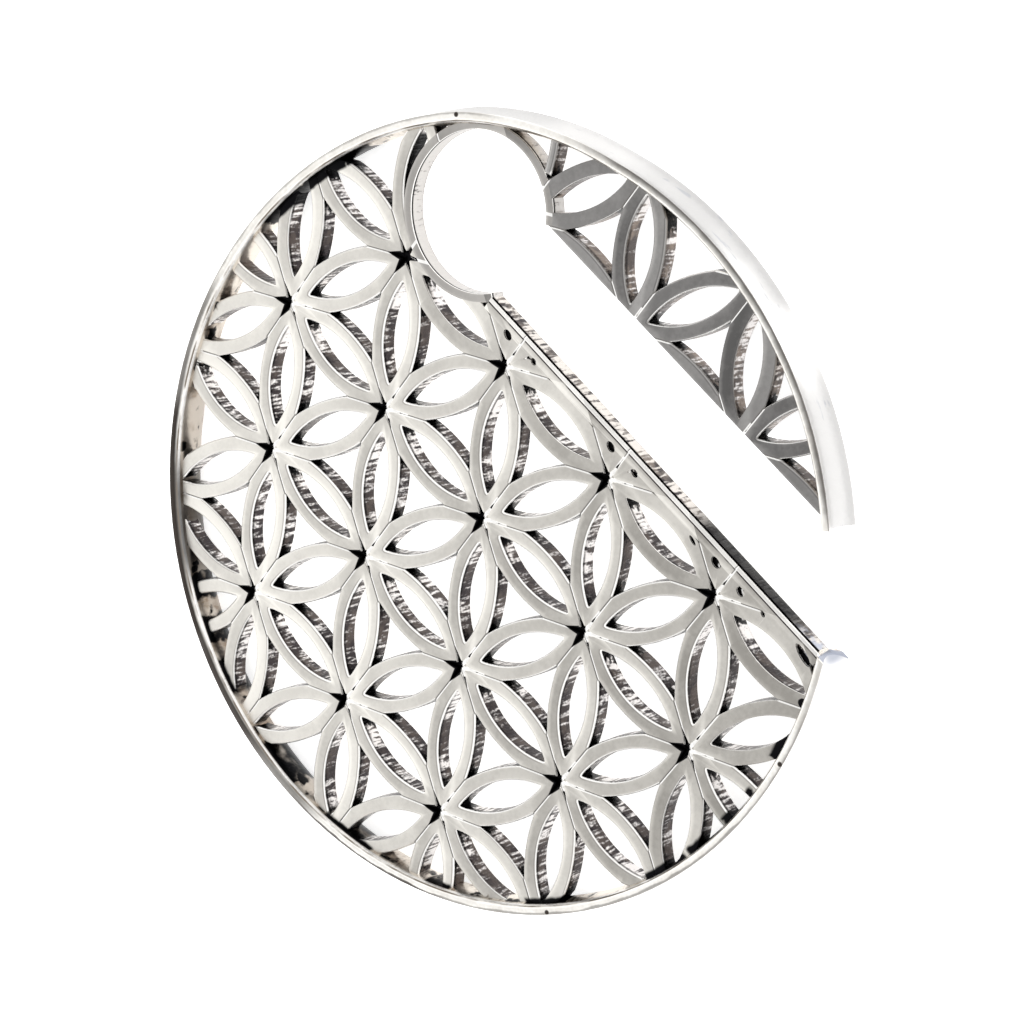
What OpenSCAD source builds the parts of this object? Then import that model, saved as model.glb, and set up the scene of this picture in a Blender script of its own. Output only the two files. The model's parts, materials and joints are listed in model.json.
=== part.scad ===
/* [Rim] */
// Diameter over the front lip of the rim
disc_d = 56.4; // [55.6:0.2:57.2]
// Depth of the rim, from its back lip to its front lip
rim_depth = 3.2; // [3:0.1:3.8]
// Thickness of the rim's curved wall
rim_wall = 0.5; // [0.4:0.05:0.6]
// Height of the rim's waist above its back lip, a little nearer to the front lip
waist_z = 1.75; // [1.6:0.05:1.8]
// Radius that the rim's outer face is hollowed to between its lips
hollow_r = 2.45; // [2.3:0.05:2.8]

/* [Lattice] */
// Distance between neighbouring flower centres
pitch = 11; // [10.8:0.1:11.1]
// Width of the strands round the petals, at their middles
strand_w = 1; // [0.9:0.02:1.1]
// How much of that width lies outside the petal's own circle
strand_out = 0.55; // [0.5:0.01:0.6]
// Distance from a flower's centre to the tips of its petals' gaps
petal_tip = 1.8; // [1.7:0.05:2]
// Radius of the six-pointed pits at the flowers' centres, over their points
pit_reach = 3; // [2.6:0.1:3.1]
// Radius of those pits between their points
pit_waist = 0.55; // [0.4:0.05:0.7]
// Depth of those pits
pit_depth = 0.4; // [0.2:0.05:0.6]
// Thickness of the pierced plate
plate_t = 1.45; // [1.2:0.05:1.6]
// Height of the plate's back face above the back lip
plate_back = 1.15; // [0.9:0.05:1.3]

/* [Keyhole] */
// Diameter of the round hole that the lobe sits in
hole_d = 11.3; // [10.8:0.1:11.4]
// Place of the hole's centre, to the right of the disc's centre
hole_x = 16.05; // [15.9:0.05:16.2]
// Place of the hole's centre, above the disc's centre
hole_y = 14; // [13.9:0.05:14.1]
// Width of the collar round the hole
collar_w = 0.6; // [0.5:0.05:0.8]
// Distance from the disc's centre line to the slot
slot_from = 12.35; // [12.2:0.05:12.6]
// Width of the slot between its two edges
slot_w = 6.95; // [6.6:0.05:7]
// Width of the solid edging along the slot
edging_w = 0.95; // [0.8:0.05:1.1]
// Width of the bead along the edging's front
bead_w = 0.3; // [0.2:0.05:0.4]
// Height of the bead over the plate's front
bead_h = 0.15; // [0.1:0.05:0.3]

/* [Arm] */
// How far the arm's rim is bent in toward the slot
arm_in = 0.7; // [0.4:0.1:0.9]
// How far the arm's lattice is set in toward the slot
arm_lattice_in = 0.9; // [0.8:0.05:1]
// Width of the arm's last strand, beside the hole
side_strand_w = 0.65; // [0.5:0.05:0.8]
// How far the end of the arm's rim stands out past its lattice
tip_out = 0.4; // [0.2:0.1:0.6]
// Direction, from the disc's centre, of the bend beside the hole
upper_bend = 42; // [38:1:48]
// Direction, from the disc's centre, of the bend below the hole
lower_bend = 15; // [10:1:20]

/* [Hidden] */
$fn = 128;

// A length beyond the whole disc, for the shapes that cut it
beyond = 45;
// Distance between neighbouring columns of flowers
column = pitch * sqrt(3) / 2;
// A depth past a face, so that a cut goes cleanly through it
past = 1;
// Half the length and width of a petal's gap, and the radius of its two sides
gap_half_l = pitch / 2 - petal_tip;
gap_half_w = pitch - column + strand_out - strand_w;
gap_side_r = (pow(gap_half_l, 2) + pow(gap_half_w, 2)) / (2 * gap_half_w);
// Radius of the sides of the three-pointed gaps between the petals
star_side_r = pitch + strand_out;

// How far the rim's front lip stands out past its waist
front_flare = hollow_r - sqrt(pow(hollow_r, 2) - pow(rim_depth - waist_z, 2));
// Radius of the rim's outer and inner faces at its waist, and of the plate inside the wall
waist_r = disc_d / 2 - front_flare;
wall_r = waist_r - rim_wall;
plate_r = wall_r + rim_wall / 2;
// How far out the middle of a petal or of a three-pointed gap may lie, beyond the plate's edge
outside_ok = 0.6;
gap_reach = plate_r + outside_ok;

// The slot's middle, and the line that the main edging starts at
slot_middle = slot_from + slot_w / 2;
edging_from = slot_from - edging_w;
hole_at = [hole_x, hole_y];
hole_r = hole_d / 2;
collar_r = hole_r + collar_w;

// The rim is three arcs of one radius. The main one is round the disc's centre, and each
// bend shifts the next one's centre square to the bend's direction
upper_shift = arm_in / (sin(upper_bend) - cos(upper_bend) * tan(lower_bend));
middle_arc_at = upper_shift * [-sin(upper_bend), cos(upper_bend)];
arm_arc_at = [-arm_in, 0];

// The origin is under the middle of the box round the whole disc
middle_x = -arm_in / 2;

function toward(angle) = [cos(angle), sin(angle)];
function flower_at(col, row) = [col * column, (row + (abs(col) % 2) / 2) * pitch];

// True for a gap's centre that lies on the arm's side of the slot
function on_arm(centre) = centre.x > 2 * column + strand_w;
// True for a gap's centre on the main side, clear of the slot and its edging
function on_main(centre) = centre.x < edging_from
    || (centre.x < slot_middle && centre.y > hole_at.y);

// True for a petal's middle that the disc still has room for
function has_petal(centre) = norm(centre) < gap_reach;
// True for a three-pointed gap's middle, clear of the hole's collar once it is set in
function has_star(centre, set_in) = norm(centre) < gap_reach
    && norm(centre + set_in - hole_at) > collar_r;

// The disc's outline in plan, bent as the rim is
module bent_outline(radius) {
    intersection() {
        circle(radius);
        union() {
            translate(middle_arc_at) circle(radius);
            translate(arm_arc_at) circle(radius);
            translate([slot_middle - 2 * beyond, -beyond]) square(2 * beyond);
        }
    }
}

// A profile turned round the disc's centre, and bent in the same way
module bent_turning() {
    intersection() {
        rotate_extrude() children();
        union() {
            translate(middle_arc_at) rotate_extrude() children();
            translate(arm_arc_at) rotate_extrude() children();
            translate([slot_middle - 2 * beyond, -beyond, -beyond]) cube(2 * beyond);
        }
    }
}

// Half of the section that lies inside one face of the rim's curved wall
module inside_face(face_r, reach) {
    difference() {
        translate([0, -reach]) square([waist_r + hollow_r, rim_depth + 2 * reach]);
        translate([waist_r + hollow_r, waist_z]) circle(face_r);
    }
}

module rim() {
    color("gainsboro")
        difference() {
            bent_turning() inside_face(hollow_r, 0);
            bent_turning() inside_face(hollow_r + rim_wall, past);
        }
}

// A petal-shaped gap, lying along X
module petal_gap() {
    intersection() {
        translate([0, gap_side_r - gap_half_w]) circle(gap_side_r);
        translate([0, gap_half_w - gap_side_r]) circle(gap_side_r);
    }
}

// A three-pointed gap round its centre, turned by an angle, with a side for each petal
// that the disc has. Where it has none the gap runs out to the rim
module star_gap(centre, turn) {
    side_r = pitch / sqrt(3);
    difference() {
        polygon([for (angle = [60, 180, 300]) centre + side_r * toward(angle + turn)]);
        for (angle = [0, 120, 240])
            if (has_petal(centre + side_r / 2 * toward(angle + turn)))
                translate(centre + 2 * side_r * toward(angle + turn)) circle(star_side_r);
    }
}

// The gaps of the main field, in the columns and rows that the disc covers
module main_gaps() {
    for (col = [-4 : 2], row = [-4 : 3]) {
        flower = flower_at(col, row);
        for (angle = [-30, 30, 90]) {
            centre = flower + pitch / 2 * toward(angle);
            if (has_petal(centre) && on_main(centre)
                && norm(centre - hole_at) > hole_r - collar_w)
                translate(centre) rotate(angle) petal_gap();
        }
        for (angle = [0, 180]) {
            centre = flower + pitch / sqrt(3) * toward(angle);
            if (has_star(centre, [0, 0]) && on_main(centre)) star_gap(centre, angle);
        }
    }
}

// The gaps of the arm, which has its own flowers along the slot
module arm_gaps() {
    set_in = [-arm_lattice_in, 0];
    translate(set_in)
        for (col = [2, 3], row = [-3 : 1]) {
            flower = flower_at(col, row);
            for (angle = [-30, 30]) {
                centre = flower + pitch / 2 * toward(angle);
                if (has_petal(centre) && on_arm(centre))
                    translate(centre) rotate(angle) petal_gap();
            }
            for (angle = [0, 180]) {
                centre = flower + pitch / sqrt(3) * toward(angle);
                if (has_star(centre, set_in) && on_arm(centre)) star_gap(centre, angle);
            }
        }
}

// The gap between the collar, the rim and the arm's last strand
module side_gap() {
    intersection() {
        translate(flower_at(2, 2) - [arm_lattice_in, 0]) circle(star_side_r - side_strand_w);
        translate([hole_x + hole_r - collar_w, 0]) square(beyond);
    }
}

// The pit where six petals meet, one point along each seam between two of them
module hub_pit() {
    polygon([for (k = [0 : 11]) (k % 2 == 0 ? pit_reach : pit_waist) * toward(30 * k)]);
}

module hub_pits() {
    for (col = [-3 : 1], row = [-3 : 2]) {
        flower = flower_at(col, row);
        if (norm(flower) < wall_r - pit_waist && norm(flower - hole_at) > collar_r)
            translate(flower) hub_pit();
    }
}

module lattice() {
    color("silver")
        translate([0, 0, plate_back])
            difference() {
                linear_extrude(plate_t)
                    difference() {
                        bent_outline(plate_r);
                        main_gaps();
                        arm_gaps();
                        side_gap();
                    }
                translate([0, 0, plate_t - pit_depth])
                    linear_extrude(pit_depth + past)
                        intersection() {
                            hub_pits();
                            circle(wall_r);
                        }
            }
}

module collar() {
    color("silver")
        translate([0, 0, plate_back])
            linear_extrude(plate_t)
                intersection() {
                    translate(hole_at) circle(collar_r);
                    bent_outline(plate_r);
                }
}

// The solid edging along the main side of the slot, with a bead on its front
module slot_edging() {
    color("lightgray")
        intersection() {
            union() {
                translate([edging_from, -beyond, plate_back])
                    cube([edging_w, beyond + hole_at.y, plate_t]);
                translate([slot_from - bead_w, -beyond, plate_back])
                    cube([bead_w, beyond + hole_at.y, plate_t + bead_h]);
            }
            linear_extrude(rim_depth) bent_outline(plate_r);
        }
}

// The hole and slot that the lobe slides in by
module keyhole() {
    length = beyond + hole_y;
    translate([0, 0, -past]) {
        translate(hole_at) cylinder(r = hole_r, h = rim_depth + 2 * past);
        translate([slot_from, -beyond])
            cube([slot_w - tip_out, length, rim_depth + 2 * past]);
        linear_extrude(rim_depth + 2 * past)
            intersection() {
                translate([slot_middle, -beyond]) square([slot_w / 2, length]);
                translate([-arm_in, 0]) circle(wall_r);
            }
    }
}

module cast_disc() {
    translate([-middle_x, 0])
        difference() {
            union() {
                rim();
                lattice();
                collar();
                slot_edging();
            }
            keyhole();
        }
}

cast_disc();
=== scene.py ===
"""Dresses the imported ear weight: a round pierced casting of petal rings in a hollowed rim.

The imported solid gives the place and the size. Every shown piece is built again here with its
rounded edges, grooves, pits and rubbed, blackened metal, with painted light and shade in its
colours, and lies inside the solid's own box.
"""

import json
import logging
import math
from collections.abc import Callable, Iterable
from dataclasses import dataclass
from enum import Enum

import bmesh
import bpy
from bmesh.types import BMEdge, BMesh, BMVert
from bpy.types import Material, Node, NodeOutputs, NodeSocket, NodeTree, Object
from mathutils import Matrix, Vector


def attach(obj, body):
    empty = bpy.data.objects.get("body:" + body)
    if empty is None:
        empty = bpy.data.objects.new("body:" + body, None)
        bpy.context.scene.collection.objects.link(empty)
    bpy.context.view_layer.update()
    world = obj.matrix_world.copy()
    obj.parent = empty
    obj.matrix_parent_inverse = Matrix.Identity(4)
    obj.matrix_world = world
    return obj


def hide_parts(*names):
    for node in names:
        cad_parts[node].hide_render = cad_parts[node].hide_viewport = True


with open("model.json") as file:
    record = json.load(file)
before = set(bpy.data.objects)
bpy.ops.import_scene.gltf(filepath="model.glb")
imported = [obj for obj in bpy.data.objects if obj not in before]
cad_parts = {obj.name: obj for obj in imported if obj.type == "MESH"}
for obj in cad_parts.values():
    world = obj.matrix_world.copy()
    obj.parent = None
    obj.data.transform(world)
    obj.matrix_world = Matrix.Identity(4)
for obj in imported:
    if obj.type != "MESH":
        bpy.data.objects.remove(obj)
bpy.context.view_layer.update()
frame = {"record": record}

Colour = tuple[float, float, float]
Corner = tuple[float, float, float]
Span = tuple[float, float]
EdgeTest = Callable[[BMEdge], bool]

MM = 0.001
PITCH = 11 * MM
COLUMN = PITCH * math.sqrt(3) / 2
SEAM_LEAN = 30.0
UP = Vector((0.0, 0.0, 1.0))
CENTRE = Vector((0.0, 0.0, 0.0))
NODE = "cast_disc"
INWARD = "inward"
SIDE = "side"
# SEEN_FROM is the camera's direction in plan; the strands' painted light and shade follow which
# side faces it.
SEEN_FROM = -33.0

# Heights and borders nearer than NEAR are one, and points nearer than WELD are joined. Faces
# that meet at more than CREASE degrees show an edge. A face is level if its normal rises by more
# than LEVEL, and a wall below STEEP. A normal that leans by less than NO_SIDE has no side.
# Corners are put in order by their places in metres, to this many DIGITS.
NEAR = 0.01 * MM
WELD = 1e-7
CREASE = 38.0
LEVEL = 0.9
STEEP = 0.4
NO_SIDE = 0.01
DIGITS = 7

log = logging.getLogger("ear_weight")


class Field(Enum):
    """The two fields of petals, one on each side of the slot."""

    MAIN = "main"
    ARM = "arm"


def toward(degrees: float) -> Vector:
    """A unit vector in plan, at an angle from +X."""
    return Vector((math.cos(math.radians(degrees)), math.sin(math.radians(degrees)), 0.0))


def turned(degrees: float) -> Matrix:
    """A turn about the upright axis."""
    return Matrix.Rotation(math.radians(degrees), 4, "Z")


@dataclass(frozen=True)
class DiscPlan:
    """Sizes that the whole disc shares, in metres, round the centre of its main arc."""

    hole_x: float
    hole_y: float
    hole_r: float
    pitch: float = PITCH
    column: float = COLUMN
    strand_w: float = 1 * MM
    strand_out: float = 0.55 * MM
    petal_tip: float = 1.8 * MM
    plate_back: float = 1.15 * MM
    plate_t: float = 1.45 * MM
    disc_r: float = 28.2 * MM
    rim_depth: float = 3.2 * MM
    rim_wall: float = 0.5 * MM
    seat_depth: float = 0.12 * MM
    waist_z: float = 1.75 * MM
    hollow_r: float = 2.45 * MM
    collar_w: float = 0.6 * MM
    slot_from: float = 12.35 * MM
    slot_w: float = 6.95 * MM
    edging_w: float = 0.95 * MM
    arm_in: float = 0.7 * MM
    arm_lattice_in: float = 0.9 * MM
    side_strand_w: float = 0.65 * MM
    tip_out: float = 0.4 * MM
    upper_bend: float = 42.0
    lower_bend: float = 15.0

    @property
    def plate_front(self) -> float:
        """Height of the lattice's front face."""
        return self.plate_back + self.plate_t

    @property
    def waist_r(self) -> float:
        """Radius of the rim's outer face at its waist."""
        rise = self.rim_depth - self.waist_z
        return self.disc_r - self.hollow_r + math.sqrt(self.hollow_r**2 - rise**2)

    @property
    def wall_r(self) -> float:
        """Radius of the rim's inner face at its waist."""
        return self.waist_r - self.rim_wall

    @property
    def seat_r(self) -> float:
        """Radius inside the rim's wall that the lattice's strands reach to."""
        return self.waist_r - self.seat_depth

    @property
    def hole(self) -> Vector:
        """Centre of the round hole, in plan."""
        return Vector((self.hole_x, self.hole_y, 0.0))

    @property
    def edging_from(self) -> float:
        """Where the slot's edging starts."""
        return self.slot_from - self.edging_w

    @property
    def arm_from(self) -> float:
        """Where the arm's lattice starts."""
        return self.slot_from + self.slot_w

    def flower(self, col: int, row: int) -> Vector:
        """Centre of one flower.

        Args:
            col: Column, counted from the disc's centre.
            row: Row in that column.

        Returns:
            The centre in plan, in the main field.
        """
        return Vector((col * self.column, (row + (abs(col) % 2) / 2) * self.pitch, 0.0))


@dataclass(frozen=True)
class Stage:
    """One arc of the bent rim: its centre, where it starts and how far it turns, in degrees."""

    centre: Vector
    start: float
    sweep: float


@dataclass(frozen=True)
class BentPath:
    """The plan line of the rim: three arcs of one radius, from the arm's tip to the slot."""

    plan: DiscPlan
    tip_angle: float = -50.0
    corner_angle: float = 298.5

    def centres(self) -> tuple[Vector, Vector, Vector]:
        """The centres of the three arcs.

        Returns:
            The centre of the arm's arc, of the middle one and of the main one.
        """
        upper, lower = math.radians(self.plan.upper_bend), math.radians(self.plan.lower_bend)
        shift = self.plan.arm_in / (math.sin(upper) - math.cos(upper) * math.tan(lower))
        middle = shift * Vector((-math.sin(upper), math.cos(upper), 0.0))
        return Vector((-self.plan.arm_in, 0.0, 0.0)), middle, CENTRE

    def stages(self, radius: float) -> list[Stage]:
        """The three arcs for one radius.

        Args:
            radius: Radius of all three arcs.

        Returns:
            The arcs in order, each starting where the one before it ends.
        """
        arm, middle, main = self.centres()
        lower = self._crossing(arm, middle, self.plan.lower_bend, radius)
        upper = self._crossing(middle, main, self.plan.upper_bend, radius)
        turns = (
            (arm, self.tip_angle, self._angle(lower - arm)),
            (middle, self._angle(lower - middle), self._angle(upper - middle)),
            (main, self._angle(upper - main), self.corner_angle),
        )
        return [Stage(centre, start, end - start) for centre, start, end in turns]

    @staticmethod
    def _crossing(one: Vector, two: Vector, bend: float, radius: float) -> Vector:
        """Where two arcs of one radius meet, at the bend between them."""
        half = (two - one).length / 2
        return (one + two) / 2 + toward(bend) * math.sqrt(radius**2 - half**2)

    @staticmethod
    def _angle(direction: Vector) -> float:
        """A direction's angle from +X, in degrees."""
        return math.degrees(math.atan2(direction.y, direction.x))


class Bench:
    """The few shaping steps that all the pieces share."""

    @staticmethod
    def arc(
        bm: BMesh, start: BMVert, centre: Vector, degrees: float, steps: int, axis: Vector = UP
    ) -> BMVert:
        """Draws an arc of edges by turning one vertex.

        Args:
            bm: Mesh to draw in.
            start: Vertex that the arc starts at.
            centre: Centre of the arc.
            degrees: Angle that it turns through.
            steps: Number of edges.
            axis: Axis that it turns about.

        Returns:
            The arc's last vertex.
        """
        swept = bmesh.ops.spin(
            bm, geom=[start], cent=centre, axis=axis, angle=math.radians(degrees), steps=steps
        )
        return next(g for g in swept["geom_last"] if isinstance(g, BMVert))

    @staticmethod
    def line(bm: BMesh, start: BMVert, points: Iterable[Span]) -> BMVert:
        """Draws edges in plan from a vertex through some points.

        Args:
            bm: Mesh to draw in.
            start: Vertex that the first edge starts at.
            points: The points in order.

        Returns:
            The last vertex.
        """
        for x, y in points:
            end = bm.verts.new((x, y, start.co.z))
            bm.edges.new((start, end))
            start = end
        return start

    @staticmethod
    def thicken(bm: BMesh, bottom: float, top: float) -> None:
        """Makes a flat sheet a solid between two heights, with its faces pointing outwards.

        Args:
            bm: The sheet.
            bottom: Height of the solid's back.
            top: Height of its front.
        """
        for vert in bm.verts:
            vert.co.z = top
        rise = bmesh.ops.extrude_face_region(bm, geom=bm.faces[:])
        moved = [g for g in rise["geom"] if isinstance(g, BMVert)]
        bmesh.ops.translate(bm, verts=moved, vec=(0.0, 0.0, bottom - top))
        bmesh.ops.recalc_face_normals(bm, faces=bm.faces[:])

    @staticmethod
    def cylinder(bm: BMesh, middle: Vector, radius: float, depth: float, segments: int) -> None:
        """Adds an upright cylinder.

        Args:
            bm: Mesh to add it to.
            middle: Its middle.
            radius: Its radius.
            depth: Its height.
            segments: Number of its sides.
        """
        bmesh.ops.create_cone(
            bm, cap_ends=True, segments=segments, radius1=radius, radius2=radius, depth=depth,
            matrix=Matrix.Translation(middle),
        )

    @staticmethod
    def cut_at(bm: BMesh, geom: list, at: float, keep_low: bool) -> None:
        """Cuts some of a mesh along a plane square to X.

        Args:
            bm: The mesh.
            geom: The vertices, edges and faces that are cut.
            at: Place of the plane along X.
            keep_low: True to keep the side with the lower X.
        """
        bmesh.ops.bisect_plane(
            bm, geom=geom, dist=WELD, plane_co=(at, 0.0, 0.0), plane_no=(1.0, 0.0, 0.0),
            clear_outer=keep_low, clear_inner=not keep_low,
        )

    @staticmethod
    def close(bm: BMesh) -> None:
        """Closes each open end of a mesh with a face, and points all its faces outwards.

        The marks blend across such a face by the order of its corners, so that order is fixed.

        Args:
            bm: The mesh.
        """
        open_edges = [edge for edge in bm.edges if edge.is_boundary]
        for face in bmesh.ops.holes_fill(bm, edges=open_edges)["faces"]:
            ring = Bench.in_order(face.verts[:])
            bm.faces.remove(face)
            bm.faces.new(ring)
        bmesh.ops.recalc_face_normals(bm, faces=bm.faces[:])

    @staticmethod
    def in_order(corners: list[BMVert]) -> list[BMVert]:
        """Puts the corners of a face in the one order that their places give.

        Args:
            corners: The corners, from any of them and either way round.

        Returns:
            The corners from the first by its place, on toward the first of its neighbours.
        """
        places = [corner.co.to_tuple(DIGITS) for corner in corners]
        start = places.index(min(places))
        ring = corners[start:] + corners[:start]
        if places[start - 1] < places[(start + 1) % len(places)]:
            ring = [ring[0], *reversed(ring[1:])]
        return ring

    @staticmethod
    def rims_of(bm: BMesh, height: float) -> list[BMEdge]:
        """Finds the edges between a level face and the walls beside it.

        Args:
            bm: The mesh.
            height: Height of the level face.

        Returns:
            The edges that lie between a level and a steep face.
        """
        found = []
        for edge in bm.edges:
            if len(edge.link_faces) != 2:
                continue
            if any(abs(v.co.z - height) > NEAR for v in edge.verts):
                continue
            one, two = (abs(face.normal.z) for face in edge.link_faces)
            if max(one, two) > LEVEL and min(one, two) < STEEP:
                found.append(edge)
        return found

    @staticmethod
    def round_off(
        bm: BMesh, geom: list, offset: float, segments: int, affect: str = "EDGES"
    ) -> None:
        """Rounds some edges, or the corners at some vertices.

        Args:
            bm: The mesh.
            geom: The edges or vertices.
            offset: How far the rounding reaches from each.
            segments: Number of facets across the rounding.
            affect: "EDGES" or "VERTICES".
        """
        bmesh.ops.bevel(
            bm, geom=geom, offset=offset, offset_type="OFFSET", segments=segments, profile=0.5,
            affect=affect, clamp_overlap=True, material=-1,
        )

    @staticmethod
    def add(target: BMesh, source: BMesh, place: Matrix) -> None:
        """Adds a copy of one mesh to another, and keeps both.

        Args:
            target: Mesh that gets the copy.
            source: Mesh that is copied.
            place: Where the copy goes.
        """
        carried = bpy.data.meshes.new("carried")
        source.to_mesh(carried)
        carried.transform(place)
        target.from_mesh(carried)
        bpy.data.meshes.remove(carried)

    @staticmethod
    def clipped(bm: BMesh, keep: Object | None, cut: Object | None) -> BMesh:
        """Keeps what lies in one solid and outside another.

        Args:
            bm: Closed mesh to clip.
            keep: Solid whose inside is kept, if there is one.
            cut: Solid that is taken away, if there is one.

        Returns:
            A new mesh, and the given one is freed.
        """
        blank = Bench.tool("blank", bm)
        for other, operation in ((keep, "INTERSECT"), (cut, "DIFFERENCE")):
            if other is not None:
                modifier = blank.modifiers.new(operation.lower(), "BOOLEAN")
                modifier.operation = operation
                modifier.solver = "EXACT"
                modifier.object = other
        result = bmesh.new()
        result.from_object(blank, bpy.context.evaluated_depsgraph_get())
        Bench.discard(blank)
        return result

    @staticmethod
    def tool(name: str, bm: BMesh) -> Object:
        """Puts a mesh in the scene as a hidden shaping tool.

        Args:
            name: Name of the tool.
            bm: Its mesh, which is freed.

        Returns:
            The tool.
        """
        shape = bpy.data.meshes.new(name)
        bm.to_mesh(shape)
        bm.free()
        made = bpy.data.objects.new(name, shape)
        bpy.context.scene.collection.objects.link(made)
        made.hide_render = True
        return made

    @staticmethod
    def discard(*tools: Object) -> None:
        """Removes some shaping tools and their meshes.

        Args:
            tools: The tools.
        """
        for made in tools:
            shape = made.data
            bpy.data.objects.remove(made)
            bpy.data.meshes.remove(shape)

    @staticmethod
    def ring_strip(centre: Vector, radii: Span, angles: Span, steps: int) -> BMesh:
        """Makes a flat strip between two radii.

        Args:
            centre: Centre of the radii.
            radii: The two radii.
            angles: The angles that it starts and ends at, in degrees.
            steps: Number of faces along it.

        Returns:
            The strip.
        """
        bm = bmesh.new()
        ends = [bm.verts.new(centre + radius * toward(angles[0])) for radius in radii]
        bm.edges.new(ends)
        bmesh.ops.spin(
            bm, geom=bm.verts[:] + bm.edges[:], cent=centre, axis=UP,
            angle=math.radians(angles[1] - angles[0]), steps=steps,
        )
        return bm

    @staticmethod
    def mark_inward(bm: BMesh) -> None:
        """Marks how far each point faces the disc's centre: 1 straight in, -1 straight out.

        Args:
            bm: A ring round the disc's centre.
        """
        bm.normal_update()
        layer = bm.verts.layers.float.new(INWARD)
        for vert in bm.verts:
            vert[layer] = -vert.normal.dot(vert.co.xy.normalized().to_3d())

    @staticmethod
    def mark_side(bm: BMesh) -> None:
        """Marks each edge of a strand by its side: 1 on the side that is seen from, -1 behind.

        Args:
            bm: The strands.
        """
        # The finishes paint light and shade on the strands by this mark.
        bm.normal_update()
        layer = bm.verts.layers.float.new(SIDE)
        for vert in bm.verts:
            out = vert.normal.xy.to_3d()
            if out.length > NO_SIDE:
                vert[layer] = out.normalized().dot(toward(SEEN_FROM))

    @staticmethod
    def finish(name: str, bm: BMesh, shift: Vector, finish: Material) -> Object:
        """Makes a mesh a shown piece that rides on the part.

        Args:
            name: Name of the piece.
            bm: Its mesh round the disc's centre, which is freed.
            shift: Place of the disc's centre in the part.
            finish: Its material.

        Returns:
            The piece.
        """
        bmesh.ops.translate(bm, verts=bm.verts[:], vec=shift)
        for face in bm.faces:
            face.smooth = True
        for edge in bm.edges:
            if len(edge.link_faces) == 2 and edge.calc_face_angle(0.0) > math.radians(CREASE):
                edge.smooth = False
        mesh = bpy.data.meshes.new(name)
        bm.to_mesh(mesh)
        bm.free()
        mesh.materials.append(finish)
        piece = bpy.data.objects.new(name, mesh)
        bpy.context.scene.collection.objects.link(piece)
        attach(piece, "root")
        log.info("%s: %d faces", name, len(mesh.polygons))
        return piece


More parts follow.
